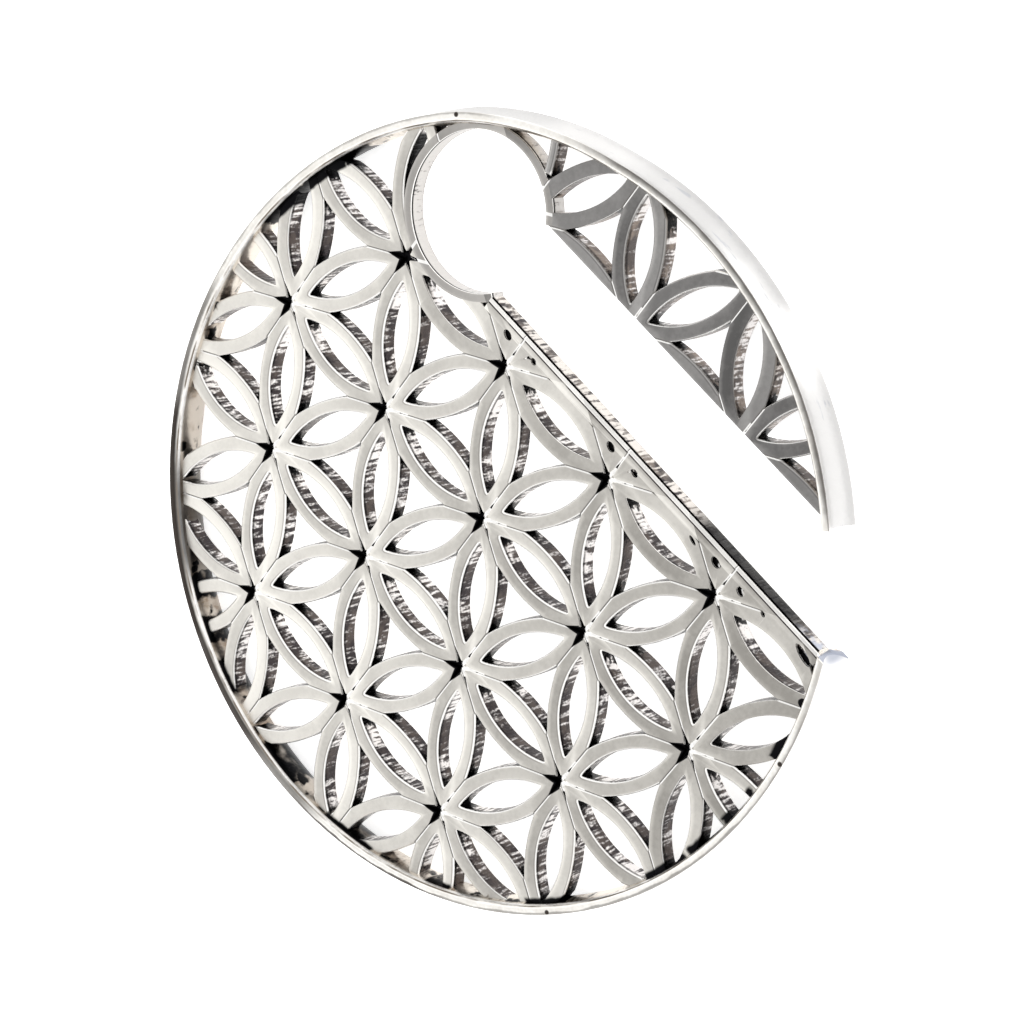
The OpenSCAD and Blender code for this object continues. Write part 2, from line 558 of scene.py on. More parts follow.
@dataclass(frozen=True)
class PetalRing:
    """One petal: a pointed ring between two flowers' centres, lying along X."""

    plan: DiscPlan
    tip_at: float = 0.42 * MM
    tip_round: float = 0.1 * MM
    tip_edge: float = 0.07 * MM
    tip_steps: int = 3
    pit_reach: float = 1.55 * MM
    gap_turn: float = 0.97
    gap_short: float = 0.06 * MM
    front_round: float = 0.23 * MM
    seam_round: float = 0.08 * MM
    back_round: float = 0.07 * MM
    arc_steps: int = 6
    short_side: float = 2.05
    runs_on: float = 155.0

    def blank(self) -> BMesh:
        """Makes the petal as a sharp-edged solid, before it is clipped and rounded.

        Returns:
            The solid.
        """
        bm = bmesh.new()
        self._outside(bm)
        self._gap(bm)
        for axis in "YX":
            geom = bm.verts[:] + bm.edges[:]
            bmesh.ops.mirror(bm, geom=geom, matrix=Matrix(), merge_dist=WELD, axis=axis)
        bmesh.ops.bridge_loops(bm, edges=bm.edges[:])
        Bench.thicken(bm, self.plan.plate_back, self.plan.plate_front)
        return bm

    def rounded(self, bm: BMesh, is_cut: EdgeTest = lambda edge: False) -> BMesh:
        """Rounds the front edges of a petal that lies along X, and its back edges a little.

        Args:
            bm: The petal.
            is_cut: True for an edge of a cut end, which stays square.

        Returns:
            The same petal.
        """
        def edges(height: float, is_kind: EdgeTest) -> list[BMEdge]:
            """The edges of one kind at some height that aren't cut."""
            return [e for e in Bench.rims_of(bm, height) if is_kind(e) and not is_cut(e)]

        front, back = self.plan.plate_front, self.plan.plate_back
        free = edges(front, lambda e: not self._is_seam(e) and not self._is_tip(e))
        free = [edge for edge in free if not self._holds_back(edge, free)]
        Bench.round_off(bm, free, self.front_round, 4)
        Bench.round_off(bm, edges(front, self._is_tip), self.tip_edge, 2)
        Bench.round_off(bm, edges(front, self._is_seam), self.seam_round, 2)
        Bench.round_off(bm, edges(back, lambda e: True), self.back_round, 1)
        return bm

    def _is_tip(self, edge: BMEdge) -> bool:
        """True for an edge of the tip, inside the pit at a flower's centre."""
        reaches = [math.hypot(self.plan.pitch / 2 - abs(v.co.x), v.co.y) for v in edge.verts]
        return max(reaches) < self.pit_reach + 2 * NEAR

    def _is_seam(self, edge: BMEdge) -> bool:
        """Tells whether an edge runs along the seam with the next petal.

        Args:
            edge: The edge.

        Returns:
            True if both its ends lie on the seam, outside the pit.
        """
        for vert in edge.verts:
            out = self.plan.pitch / 2 - abs(vert.co.x)
            lean = math.degrees(math.atan2(abs(vert.co.y), out))
            in_pit = math.hypot(out, vert.co.y) < self.pit_reach - 10 * NEAR
            if abs(lean - SEAM_LEAN) > 1 or in_pit:
                return False
        return True

    def _holds_back(self, edge: BMEdge, free: list[BMEdge]) -> bool:
        """Tells whether an edge lies beside a short square one, which would limit the rounding.

        Args:
            edge: The edge.
            free: All the edges that are rounded together.

        Returns:
            True if it meets such an edge at a corner.
        """
        for vert in edge.verts:
            one = edge.other_vert(vert).co - vert.co
            for other in vert.link_edges:
                two = other.other_vert(vert).co - vert.co
                level = abs(two.z) < NEAR
                if other in free or not level or two.length > self.short_side * self.front_round:
                    continue
                if one.angle(two) < math.radians(self.runs_on):
                    return True
        return False

    def _outside(self, bm: BMesh) -> None:
        """Draws a quarter of the outer outline: the arc, the seam and the rounded tip.

        Args:
            bm: Mesh to draw in.
        """
        plan = self.plan
        half = plan.pitch / 2
        flower = half * toward(0)
        seam = toward(180 - SEAM_LEAN)
        radius = plan.pitch + plan.strand_out
        crossing = flower + math.sqrt(radius**2 - plan.column**2 - half**2) * seam
        start = bm.verts.new((0.0, radius - plan.column, 0.0))
        sweep = -math.degrees(math.asin(crossing.x / radius))
        end = Bench.arc(bm, start, Vector((0.0, -plan.column, 0.0)), sweep, self.arc_steps)
        pit = flower + self.pit_reach * seam
        round_at = Vector((half - self.tip_at - self.tip_round, 0.0, 0.0))
        side = pit - round_at
        lean = math.degrees(math.atan2(side.y, side.x))
        opening = math.degrees(math.acos(self.tip_round / side.length))
        touch = round_at + self.tip_round * toward(lean - opening)
        end = Bench.line(bm, end, [(pit.x, pit.y), (touch.x, touch.y)])
        Bench.arc(bm, end, round_at, opening - lean, self.tip_steps)

    def _gap(self, bm: BMesh) -> None:
        """Draws a quarter of the gap's outline, with as many edges as the outer one.

        Args:
            bm: Mesh to draw in.
        """
        plan = self.plan
        half_l = plan.pitch / 2 - plan.petal_tip
        half_w = plan.pitch - plan.column + plan.strand_out - plan.strand_w
        side_r = (half_l**2 + half_w**2) / (2 * half_w)
        start = bm.verts.new((0.0, half_w, 0.0))
        sweep = -self.gap_turn * math.degrees(math.asin(half_l / side_r))
        steps = self.arc_steps + self.tip_steps + 1
        end = Bench.arc(bm, start, Vector((0.0, half_w - side_r, 0.0)), sweep, steps)
        Bench.line(bm, end, [(half_l - self.gap_short, 0.0)])


@dataclass(frozen=True)
class EdgingPits:
    """The small pits between the last petals and the slot's edging."""

    plan: DiscPlan
    depth: float = 0.3 * MM
    past: float = 0.3 * MM
    lean: float = 0.8
    angle: float = 75.0
    border: float = 1.1
    sides: int = 14
    spots: tuple[tuple[float, float, float, float], ...] = (
        (11.31, 6.71, 0.95, 0.62),
        (11.38, 3.98, 0.62, 0.45),
        (11.33, -4.26, 0.95, 0.62),
        (11.3, -6.78, 0.7, 0.5),
        (11.1, -12.91, 0.9, 0.3),
        (11.26, -15.12, 1.0, 0.62),
        (11.1, -17.71, 0.8, 0.5),
        (11.24, -19.89, 0.5, 0.3),
        (11.39, -23.74, 2.0, 0.62),
    )

    def add_to(self, bm: BMesh) -> None:
        """Adds the shape of each pit to a mesh that cuts them.

        Args:
            bm: The mesh.
        """
        height = self.depth + self.past
        middle = self.plan.plate_front - self.depth + height / 2
        for x, y, length, width in self.spots:
            size = Matrix.Diagonal((length * MM / 2, width * MM / 2, 1.0, 1.0))
            place = Matrix.Translation((x * MM, y * MM, middle)) @ turned(self.angle) @ size
            bmesh.ops.create_cone(
                bm, cap_ends=True, segments=self.sides, radius1=self.lean, radius2=1.0,
                depth=height, matrix=place,
            )

    def hold(self, point: Vector) -> bool:
        """Tells whether a point lies in a pit or on its border.

        Args:
            point: The point, in plan.

        Returns:
            True if a pit holds it.
        """
        for x, y, length, width in self.spots:
            off = Vector((point.x - x * MM, point.y - y * MM, 0.0))
            along = off.dot(toward(self.angle)) * 2 / (length * MM)
            across = off.dot(toward(self.angle + 90)) * 2 / (width * MM)
            if math.hypot(along, across) < self.border:
                return True
        return False


@dataclass
class PetalLattice:
    """All the petals of one field, joined, with the floors of the pits between them."""

    plan: DiscPlan
    path: BentPath
    side: Field
    outside_ok: float = 1.2 * MM
    clear_share: float = 0.3
    pit_floor: float = 0.5 * MM
    floor_r: float = 1.62 * MM
    floor_lift: float = 0.02 * MM
    fillets: tuple[Span, ...] = (
        (-60.0, 1.3 * MM), (0.0, 1.0 * MM), (-118.0, 0.8 * MM), (-30.0, 0.7 * MM)
    )
    fillet_at: float = 0.52
    fillet_w: float = 0.5 * MM
    fillet_h: float = 0.2 * MM
    fillet_drop: float = 0.01 * MM
    fillet_clear: float = 1 * MM
    edging_lap: float = 0.06 * MM
    cut_near: float = 0.02 * MM
    solid_past: float = 1 * MM
    turn_step: float = 2.0
    fewest_steps: int = 4
    hole_sides: int = 96
    floor_sides: int = 24
    strand_steps: int = 12
    side_strand_span: Span = (-71.0, -44.0)

    def build(self, shift: Vector, finish: Material) -> Object:
        """Builds the field as one piece.

        Args:
            shift: Place of the disc's centre in the part.
            finish: Its material.

        Returns:
            The piece.
        """
        ring = PetalRing(self.plan)
        whole = ring.rounded(ring.blank())
        keep, disc, cut = self._field_solid(), self._disc_solid(), self._hole_solid()
        lattice = bmesh.new()
        for centre, angle in self._places():
            place = Matrix.Translation(centre) @ turned(angle)
            if self._stands_free(centre, angle):
                Bench.add(lattice, whole, place)
                continue
            blank = ring.blank()
            bmesh.ops.transform(blank, matrix=place, verts=blank.verts[:])
            part = Bench.clipped(blank, disc if self._over_hole(centre) else keep, cut)
            bmesh.ops.transform(part, matrix=place.inverted(), verts=part.verts[:])
            Bench.add(lattice, ring.rounded(part, self._cut_test(place)), place)
            part.free()
        self._add_floors(lattice, keep, cut)
        if self.side is Field.MAIN:
            self._add_fillets(lattice)
        else:
            self._add_side_strand(lattice, ring, keep, cut)
        whole.free()
        Bench.discard(keep, disc, cut)
        Bench.mark_side(lattice)
        return Bench.finish(f"{self.side.value}_lattice", lattice, shift, finish)

    @property
    def _limit(self) -> float:
        """Where this field ends beside the slot."""
        on_arm = self.side is Field.ARM
        return self.plan.arm_from if on_arm else self.plan.edging_from + self.edging_lap

    def _places(self) -> list[tuple[Vector, float]]:
        """Finds the petals that show in this field.

        Returns:
            The middle and the angle of each.
        """
        plan = self.plan
        cols = range(-4, 2) if self.side is Field.MAIN else range(2, 4)
        found = []
        for col in cols:
            for row in range(-4, 4):
                for angle in (-30.0, 30.0, 90.0):
                    middle = plan.flower(col, row) + plan.pitch / 2 * toward(angle)
                    if self._has_petal(middle, col, row, angle):
                        found.append((middle + self._set_in(), angle))
        return found

    def _flowers(self) -> list[Vector]:
        """The flowers' centres that this field may show, without the outermost row."""
        cols = range(-3, 2) if self.side is Field.MAIN else range(2, 4)
        return [self.plan.flower(col, row) + self._set_in() for col in cols for row in range(-3, 3)]

    def _has_petal(self, middle: Vector, col: int, row: int, angle: float) -> bool:
        """Tells whether the disc has room for a petal, and this field keeps a part of it.

        Args:
            middle: The petal's middle, before the arm is set in.
            col: Column of its flower.
            row: Row of its flower.
            angle: Its angle.

        Returns:
            True if it has.
        """
        reach = middle.length < self.plan.wall_r + self.outside_ok
        if self.side is Field.MAIN:
            return reach
        beside_hole = (col, row, angle) == (2, 1, 30.0)
        return reach and not beside_hole and middle.y <= self.plan.hole_y

    def _set_in(self) -> Vector:
        """How far this field is set in toward the slot."""
        moved = -self.plan.arm_lattice_in if self.side is Field.ARM else 0.0
        return Vector((moved, 0.0, 0.0))

    def _stands_free(self, centre: Vector, angle: float) -> bool:
        """Tells whether nothing clips a petal.

        Args:
            centre: The petal's middle.
            angle: Its angle.

        Returns:
            True if it stands clear of the rim, the collar and the slot.
        """
        plan = self.plan
        if self.side is Field.ARM:
            return False
        half = plan.pitch / 2 * toward(angle)
        width = plan.column * self.clear_share
        for point in (centre, centre + half, centre - half):
            on_rim = point.length > plan.wall_r - width
            on_collar = (point - plan.hole).length < plan.hole_r + plan.collar_w + width
            if on_rim or on_collar or point.x > plan.edging_from - width:
                return False
        return True

    def _cut_test(self, place: Matrix) -> EdgeTest:
        """Makes a test for the edges of a petal's cut ends.

        Args:
            place: Where the petal lies.

        Returns:
            The test.
        """
        pits = EdgingPits(self.plan)

        def is_cut(edge: BMEdge) -> bool:
            """True for an edge on the rim, the slot, the hole or in a pit."""
            points = [place @ vert.co for vert in edge.verts]
            return all(self._on_cut(point) or pits.hold(point) for point in points)

        return is_cut

    def _on_cut(self, point: Vector) -> bool:
        """Tells whether a point lies on a cut end.

        Args:
            point: The point.

        Returns:
            True if it lies on the rim's seat, the slot's side or the hole's collar.
        """
        plan = self.plan
        flat = Vector((point.x, point.y, 0.0))
        seats = self.path.stages(plan.seat_r)
        gaps = [(flat - stage.centre).length - plan.seat_r for stage in seats]
        gaps.append((flat - plan.hole).length - plan.hole_r - plan.collar_w / 2)
        gaps.append(point.x - self._limit)
        return min(abs(gap) for gap in gaps) < self.cut_near

    def _over_hole(self, centre: Vector) -> bool:
        """True for a main petal above the hole, where the slot doesn't limit the field."""
        return self.side is Field.MAIN and centre.y > self.plan.hole_y + self.plan.pitch / 3

    def _outline(self) -> BMesh:
        """Makes the disc's outline inside the rim.

        Returns:
            A solid taller than the plate.
        """
        plan = self.plan
        bm = bmesh.new()
        stages = self.path.stages(plan.seat_r)
        start = bm.verts.new(stages[0].centre + plan.seat_r * toward(stages[0].start))
        vert = start
        for stage in stages:
            steps = max(self.fewest_steps, round(stage.sweep / self.turn_step))
            vert = Bench.arc(bm, vert, stage.centre, stage.sweep, steps)
        bm.edges.new((vert, start))
        bmesh.ops.contextual_create(bm, geom=bm.edges[:])
        Bench.thicken(bm, -self.solid_past, plan.rim_depth + self.solid_past)
        return bm

    def _disc_solid(self) -> Object:
        """The solid that the whole disc's strands stay in."""
        return Bench.tool("disc_solid", self._outline())

    def _field_solid(self) -> Object:
        """Makes the solid that this field's strands stay in: the disc's outline on its side.

        Returns:
            The solid.
        """
        bm = self._outline()
        geom = bm.verts[:] + bm.edges[:] + bm.faces[:]
        Bench.cut_at(bm, geom, self._limit, self.side is Field.MAIN)
        Bench.close(bm)
        return Bench.tool("field_solid", bm)

    def _hole_solid(self) -> Object:
        """Makes the solid that clips the strands, inside the hole's collar and in the pits.

        Returns:
            The solid.
        """
        plan = self.plan
        bm = bmesh.new()
        radius = plan.hole_r + plan.collar_w / 2
        Bench.cylinder(bm, plan.hole, radius, 4 * plan.rim_depth, self.hole_sides)
        EdgingPits(plan).add_to(bm)
        return Bench.tool("hole_solid", bm)

    def _add_floors(self, lattice: BMesh, keep: Object, cut: Object) -> None:
        """Adds the pits' floors, one under each flower's centre.

        Args:
            lattice: The field.
            keep: Solid that the field stays in.
            cut: Solid that is taken away from it.
        """
        plan = self.plan
        thick = plan.plate_t - self.pit_floor
        middle_z = plan.plate_back + thick / 2 + self.floor_lift
        for flower in self._flowers():
            if flower.length > plan.wall_r + self.floor_r:
                continue
            floor = bmesh.new()
            middle = flower + middle_z * UP
            Bench.cylinder(floor, middle, self.floor_r, thick, self.floor_sides)
            floor = Bench.clipped(floor, keep, cut)
            Bench.add(lattice, floor, Matrix())
            floor.free()

    def _add_fillets(self, lattice: BMesh) -> None:
        """Adds the smooth metal that ran into some of the seams at each flower's centre.

        Args:
            lattice: The field.
        """
        plan = self.plan
        fillet = bmesh.new()
        bmesh.ops.create_icosphere(fillet, subdivisions=2, radius=1.0)
        top = plan.plate_front - self.fillet_h - self.fillet_drop
        for flower in self._flowers():
            off_hole = (flower - plan.hole).length - plan.hole_r - plan.collar_w
            if flower.length > plan.wall_r - self.fillet_clear or off_hole < self.fillet_clear:
                continue
            for angle, reach in self.fillets:
                size = Matrix.Diagonal((reach / 2, self.fillet_w / 2, self.fillet_h, 1.0))
                middle = flower + reach * self.fillet_at * toward(angle) + top * UP
                Bench.add(lattice, fillet, Matrix.Translation(middle) @ turned(angle) @ size)
        fillet.free()

    def _add_side_strand(
        self, lattice: BMesh, ring: PetalRing, keep: Object, cut: Object
    ) -> None:
        """Adds the arm's last strand, which runs up beside the hole to the rim.

        Args:
            lattice: The field.
            ring: The petal whose rounding it shares.
            keep: Solid that the field stays in.
            cut: Solid that is taken away from it.
        """
        plan = self.plan
        upper = plan.flower(2, 2) + self._set_in()
        outer = plan.pitch + plan.strand_out
        radii = (outer - plan.side_strand_w, outer)
        strip = Bench.ring_strip(upper, radii, self.side_strand_span, self.strand_steps)
        Bench.thicken(strip, plan.plate_back, plan.plate_front)
        strand = ring.rounded(Bench.clipped(strip, keep, cut), self._cut_test(Matrix()))
        Bench.add(lattice, strand, Matrix())
        strand.free()


@dataclass
class RimBand:
    """The thin wall round the disc, hollowed on its outside, with rounded lips."""

    plan: DiscPlan
    path: BentPath
    lip_round: float = 0.14 * MM
    arc_steps: int = 12
    turn_step: float = 2.5
    fewest_steps: int = 3
    end_below: float = -18 * MM
    end_reach: float = 2 * MM
    end_apart: float = 1 * MM

    def build(self, shift: Vector, finish: Material) -> Object:
        """Builds the rim as one piece.

        Args:
            shift: Place of the disc's centre in the part.
            finish: Its material.

        Returns:
            The piece.
        """
        plan = self.plan
        bm = bmesh.new()
        self._section(bm)
        stages = self.path.stages(plan.waist_r)
        turn = Matrix.Translation(stages[0].centre) @ turned(stages[0].start)
        bmesh.ops.transform(bm, matrix=turn, verts=bm.verts[:])
        ring = bm.verts[:] + bm.edges[:]
        for stage in stages:
            steps = max(self.fewest_steps, round(stage.sweep / self.turn_step))
            sweep = math.radians(stage.sweep)
            swept = bmesh.ops.spin(
                bm, geom=ring, cent=stage.centre, axis=UP, angle=sweep, steps=steps
            )
            ring = swept["geom_last"]
        tip = plan.arm_from - plan.tip_out
        self._cut_end(bm, plan.slot_from, tip - self.end_apart, keep_low=True)
        self._cut_end(bm, tip, tip + self.end_reach, keep_low=False)
        Bench.close(bm)
        Bench.mark_inward(bm)
        return Bench.finish("rim_band", bm, shift, finish)

    def _section(self, bm: BMesh) -> None:
        """Draws the section of the wall in the XZ plane, at its distance from the centre.

        Args:
            bm: Mesh to draw in.
        """
        plan = self.plan
        across = Vector((0.0, 1.0, 0.0))
        middle = Vector((plan.waist_r + plan.hollow_r, 0.0, plan.waist_z))
        ends = []
        for radius in (plan.hollow_r, plan.hollow_r + plan.rim_wall):
            low = math.asin(plan.waist_z / radius)
            high = math.asin((plan.rim_depth - plan.waist_z) / radius)
            start = bm.verts.new(middle - radius * Vector((math.cos(low), 0.0, math.sin(low))))
            end = Bench.arc(bm, start, middle, math.degrees(low + high), self.arc_steps, across)
            ends.append((start, end))
        for pair in zip(*ends):
            bm.edges.new(pair)
        bmesh.ops.contextual_create(bm, geom=bm.edges[:])
        corners = [vert for pair in ends for vert in pair]
        Bench.round_off(bm, corners, self.lip_round, 3, affect="VERTICES")
        bmesh.ops.delete(bm, geom=bm.faces[:], context="FACES_ONLY")

    def _cut_end(self, bm: BMesh, at: float, high: float, keep_low: bool) -> None:
        """Cuts one end of the rim square to X.

        Args:
            bm: The rim.
            at: Place of the cut along X.
            high: Faces past this place belong to another stretch.
            keep_low: True if the rim lies on the low side of the cut.
        """
        parts = set()
        for face in bm.faces:
            middle = face.calc_center_median()
            if middle.y < self.end_below and at - self.end_reach < middle.x < high:
                parts.update((face, *face.verts, *face.edges))
        Bench.cut_at(bm, list(parts), at, keep_low)


@dataclass
class HoleCollar:
    """The thin ring round the lobe's hole, open to the slot."""

    plan: DiscPlan
    edge_round: float = 0.1 * MM
    proud: float = 0.02 * MM
    steps: int = 120

    def build(self, shift: Vector, finish: Material) -> Object:
        """Builds the ring as one piece.

        Args:
            shift: Place of the disc's centre in the part.
            finish: Its material.

        Returns:
            The piece.
        """
        plan = self.plan
        middle_r = plan.hole_r + plan.collar_w / 2
        right = math.degrees(math.acos((plan.arm_from - plan.hole_x) / middle_r))
        left = math.degrees(math.acos((plan.hole_x - plan.slot_from) / middle_r))
        radii = (plan.hole_r, plan.hole_r + plan.collar_w)
        ring = Bench.ring_strip(plan.hole, radii, (-right, 180 + left), self.steps)
        top = plan.plate_front + self.proud
        Bench.thicken(ring, plan.plate_back, top)
        Bench.round_off(ring, Bench.rims_of(ring, top), self.edge_round, 4)
        Bench.mark_side(ring)
        return Bench.finish("hole_collar", ring, shift, finish)


@dataclass
class SlotEdging:
    """The solid edging along the main side of the slot, its bead, and the pits' floor."""

    plan: DiscPlan
    bead_w: float = 0.3 * MM
    bead_h: float = 0.13 * MM
    edge_round: float = 0.1 * MM
    proud: float = 0.01 * MM
    bead_sunk: float = 0.3 * MM
    pit_depth: float = 0.35 * MM
    floor_out: float = 0.75 * MM
    floor_in: float = 0.2 * MM
    floor_lift: float = 0.02 * MM
    floor_short: float = 2 * MM

    def build(self, shift: Vector, finish: Material) -> Object:
        """Builds the edging as one piece.

        Args:
            shift: Place of the disc's centre in the part.
            finish: Its material.

        Returns:
            The piece.
        """
        plan = self.plan
        bm = bmesh.new()
        start, end = plan.edging_from, plan.slot_from
        foot = -math.sqrt(plan.seat_r**2 - end**2)
        collar_r = plan.hole_r + plan.collar_w / 2
        head = plan.hole_y - math.sqrt(collar_r**2 - (plan.hole_x - end) ** 2)
        back = plan.plate_back
        top = plan.plate_front + self.proud
        self._bar(bm, (start, foot, back), (end, head, top), True)
        bead = (end - self.bead_w, foot, top - self.bead_sunk)
        self._bar(bm, bead, (end, head, top + self.bead_h), True)
        low = (start - self.floor_out, foot, back + self.floor_lift)
        floor_top = plan.plate_front - self.pit_depth
        high = (start + self.floor_in, head - self.floor_short, floor_top)
        self._bar(bm, low, high, False)
        Bench.mark_side(bm)
        return Bench.finish("slot_edging", bm, shift, finish)

    def _bar(self, bm: BMesh, low: Corner, high: Corner, rounded: bool) -> None:
        """Adds a bar.

        Args:
            bm: The edging.
            low: The bar's lowest corner.
            high: Its highest corner.
            rounded: True to cut the small pits in it and round its long front edges.
        """
        bar = bmesh.new()
        size = [b - a for a, b in zip(low, high)]
        middle = [(a + b) / 2 for a, b in zip(low, high)]
        place = Matrix.Translation(middle) @ Matrix.Diagonal((*size, 1.0))
        bmesh.ops.create_cube(bar, size=1.0, matrix=place)
        if rounded:
            pits = bmesh.new()
            EdgingPits(self.plan).add_to(pits)
            tool = Bench.tool("pit_solid", pits)
            bar = Bench.clipped(bar, None, tool)
            Bench.discard(tool)
            Bench.round_off(bar, Bench.rims_of(bar, high[2]), self.edge_round, 3)
        Bench.add(bm, bar, Matrix())
        bar.free()


class NodeDesk:
    """A few steps for wiring one node tree."""

    def __init__(self, tree: NodeTree) -> None:
        """Starts on a node tree."""
        self.tree = tree

    def node(self, kind: str, **inputs: object) -> Node:
        """Adds a node and sets or links its inputs.

        Args:
            kind: The node's type.
            inputs: A value or an output socket for each input, with "_" for a space in its name.

        Returns:
            The node.
        """
        made = self.tree.nodes.new(kind)
        for name, value in inputs.items():
            self.feed(made.inputs[name.replace("_", " ")], value)
        return made

    def feed(self, socket: NodeSocket, value: object) -> None:
        """Links an output to a socket, or sets the socket's own value.

        Args:
            socket: The input socket.
            value: An output socket or a value.
        """
        if isinstance(value, NodeSocket):
            self.tree.links.new(value, socket)
        else:
            socket.default_value = value

    def _worked(self, kind: str, operation: str, values: Iterable[object]) -> Node:
        """Adds a node that works on its inputs in order.

        Args:
            kind: The node's type.
            operation: What it does.
            values: An output socket or a value for each input.

        Returns:
            The node.
        """
        made = self.tree.nodes.new(kind)
        made.operation = operation
        for socket, value in zip(made.inputs, values):
            self.feed(socket, value)
        return made

    def math(self, operation: str, *values: object) -> NodeSocket:
        """The result of a math node with its values in order."""
        return self._worked("ShaderNodeMath", operation, values).outputs[0]

    def vector(self, operation: str, *values: object) -> NodeSocket:
        """The result of a vector math node with its values in order."""
        made = self._worked("ShaderNodeVectorMath", operation, values)
        return made.outputs["Value" if operation in ("LENGTH", "DISTANCE") else "Vector"]

    def _joined(self, operation: str, values: tuple[object, ...]) -> object:
        """Joins any number of values, two at a time.

        Args:
            operation: What a math node does with each two.
            values: The values.

        Returns:
            The result.
        """
        found = values[0]
        for value in values[1:]:
            found = self.math(operation, found, value)
        return found

    def most(self, *values: object) -> NodeSocket:
        """The largest of some values."""
        return self._joined("MAXIMUM", values)

    def times(self, *values: object) -> NodeSocket:
        """The product of some values."""
        return self._joined("MULTIPLY", values)

    def plus(self, *values: object) -> NodeSocket:
        """The sum of some values."""
        return self._joined("ADD", values)

    def minus(self, *values: object) -> NodeSocket:
        """The first value less the others."""
        return self._joined("SUBTRACT", values)

    def parts(self, where: object) -> NodeOutputs:
        """The X, Y and Z of a point."""
        return self.node("ShaderNodeSeparateXYZ", Vector=where).outputs

    def flat(self, where: object) -> NodeSocket:
        """A point's place in plan."""
        return self.vector("MULTIPLY", where, (1.0, 1.0, 0.0))

    def scaled(self, where: object, *scale: float) -> NodeSocket:
        """A point's place, scaled along X, Y and Z."""
        return self.node("ShaderNodeMapping", Vector=where, Scale=scale).outputs[0]

    def ramp(self, value: object, start: float, end: float) -> NodeSocket:
        """Adds a smooth step.

        Args:
            value: What it reads.
            start: Level where it gives 0.
            end: Level where it gives 1, which may be below the start.

        Returns:
            The step.
        """
        low, high = min(start, end), max(start, end)
        made = self.node("ShaderNodeMapRange", Value=value, From_Min=low, From_Max=high)
        made.interpolation_type = "SMOOTHSTEP"
        if start >= end:
            self.feed(made.inputs["To Min"], 1.0)
            self.feed(made.inputs["To Max"], 0.0)
        return made.outputs[0]

    def band(self, value: object, low: float, high: float, soft: float) -> NodeSocket:
        """1 where the value lies between two levels, with soft borders."""
        rise = self.ramp(value, low - soft, low + soft)
        return self.times(rise, self.ramp(value, high + soft, high - soft))

    def mix(self, kind: str, name: str, share: object, one: object, two: object) -> NodeSocket:
        """Mixes two colours or vectors.

        Args:
            kind: The mix node's data type.
            name: The same in the names of its sockets.
            share: Share of the second.
            one: The first.
            two: The second.

        Returns:
            The mixture.
        """
        made = self.tree.nodes.new("ShaderNodeMix")
        made.data_type = kind
        sockets = {socket.identifier: socket for socket in made.inputs}
        self.feed(sockets["Factor_Float"], share)
        self.feed(sockets[f"A_{name}"], one)
        self.feed(sockets[f"B_{name}"], two)
        return next(o for o in made.outputs if o.identifier == f"Result_{name}")

    def blend(self, share: object, one: object, two: object) -> NodeSocket:
        """Mixes two colours by a share."""
        ends = [(*v, 1.0) if isinstance(v, tuple) else v for v in (one, two)]
        return self.mix("RGBA", "Color", share, *ends)

    def pointing(self, angle: object, degrees: float) -> NodeSocket:
        """How far an angle points to a direction, from -1 to 1."""
        return self.math("COSINE", self.minus(angle, math.radians(degrees)))

    def stretch(self, angle: object, middle: float, half: float, soft: float) -> NodeSocket:
        """Finds a stretch of angles, all in degrees.

        Args:
            angle: The angle at the point.
            middle: Middle of the stretch.
            half: Half its length.
            soft: How far its soft borders reach to each side.

        Returns:
            1 inside the stretch.
        """
        low = math.cos(math.radians(half + soft))
        high = math.cos(math.radians(max(0.0, half - soft)))
        return self.ramp(self.pointing(angle, middle), low, high)

    def mark(self, name: str) -> NodeSocket:
        """Reads a mark that the mesh carries."""
        made = self.tree.nodes.new("ShaderNodeAttribute")
        made.attribute_name = name
        return made.outputs["Fac"]

    def noise(self, where: object, scale: float, detail: float = 3.0) -> NodeSocket:
        """The grey value of a noise texture."""
        made = self.node("ShaderNodeTexNoise", Vector=where, Scale=scale, Detail=detail)
        return made.outputs["Fac"]

    def bump(self, height: object, distance: float, strength: float) -> NodeSocket:
        """The normal of a relief."""
        made = self.node("ShaderNodeBump", Height=height, Distance=distance, Strength=strength)
        return made.outputs[0]


class EffectGroup:
    """One effect that several finishes share, kept as a node group that is built once."""

    name = "effect"
    inputs: tuple[tuple[str, str, float], ...] = (("Place", "NodeSocketVector", 0.0),)
    outputs: tuple[str, ...] = ()

    @classmethod
    def tree(cls) -> NodeTree:
        """Finds the effect's node group, or builds it at its first use.

        Returns:
            The group.
        """
        known = bpy.data.node_groups.get(cls.name)
        if known is not None:
            return known
        made = bpy.data.node_groups.new(cls.name, "ShaderNodeTree")
        face = made.interface
        for name, kind, value in cls.inputs:
            socket = face.new_socket(name, in_out="INPUT", socket_type=kind)
            if kind == "NodeSocketFloat":
                socket.default_value = value
        for name in cls.outputs:
            face.new_socket(name, in_out="OUTPUT", socket_type="NodeSocketFloat")
        start = made.nodes.new("NodeGroupInput")
        end = made.nodes.new("NodeGroupOutput")
        results = cls.wire(NodeDesk(made), start.outputs)
        for name, value in zip(cls.outputs, results):
            made.links.new(value, end.inputs[name])
        return made

    @classmethod
    def wire(cls, desk: NodeDesk, given: NodeOutputs) -> tuple[NodeSocket, ...]:
        """Wires the effect.

        Args:
            desk: The desk of its node group.
            given: The group's inputs.

        Returns:
            One socket for each output.
        """
        raise NotImplementedError

    @classmethod
    def use(cls, desk: NodeDesk, **inputs: object) -> NodeOutputs:
        """Places the effect in a material.

        Args:
            desk: The material's desk.
            inputs: A value or an output socket for each input.

        Returns:
            The effect's outputs.
        """
        made = desk.tree.nodes.new("ShaderNodeGroup")
        made.node_tree = cls.tree()
        for name, value in inputs.items():
            desk.feed(made.inputs[name], value)
        return made.outputs


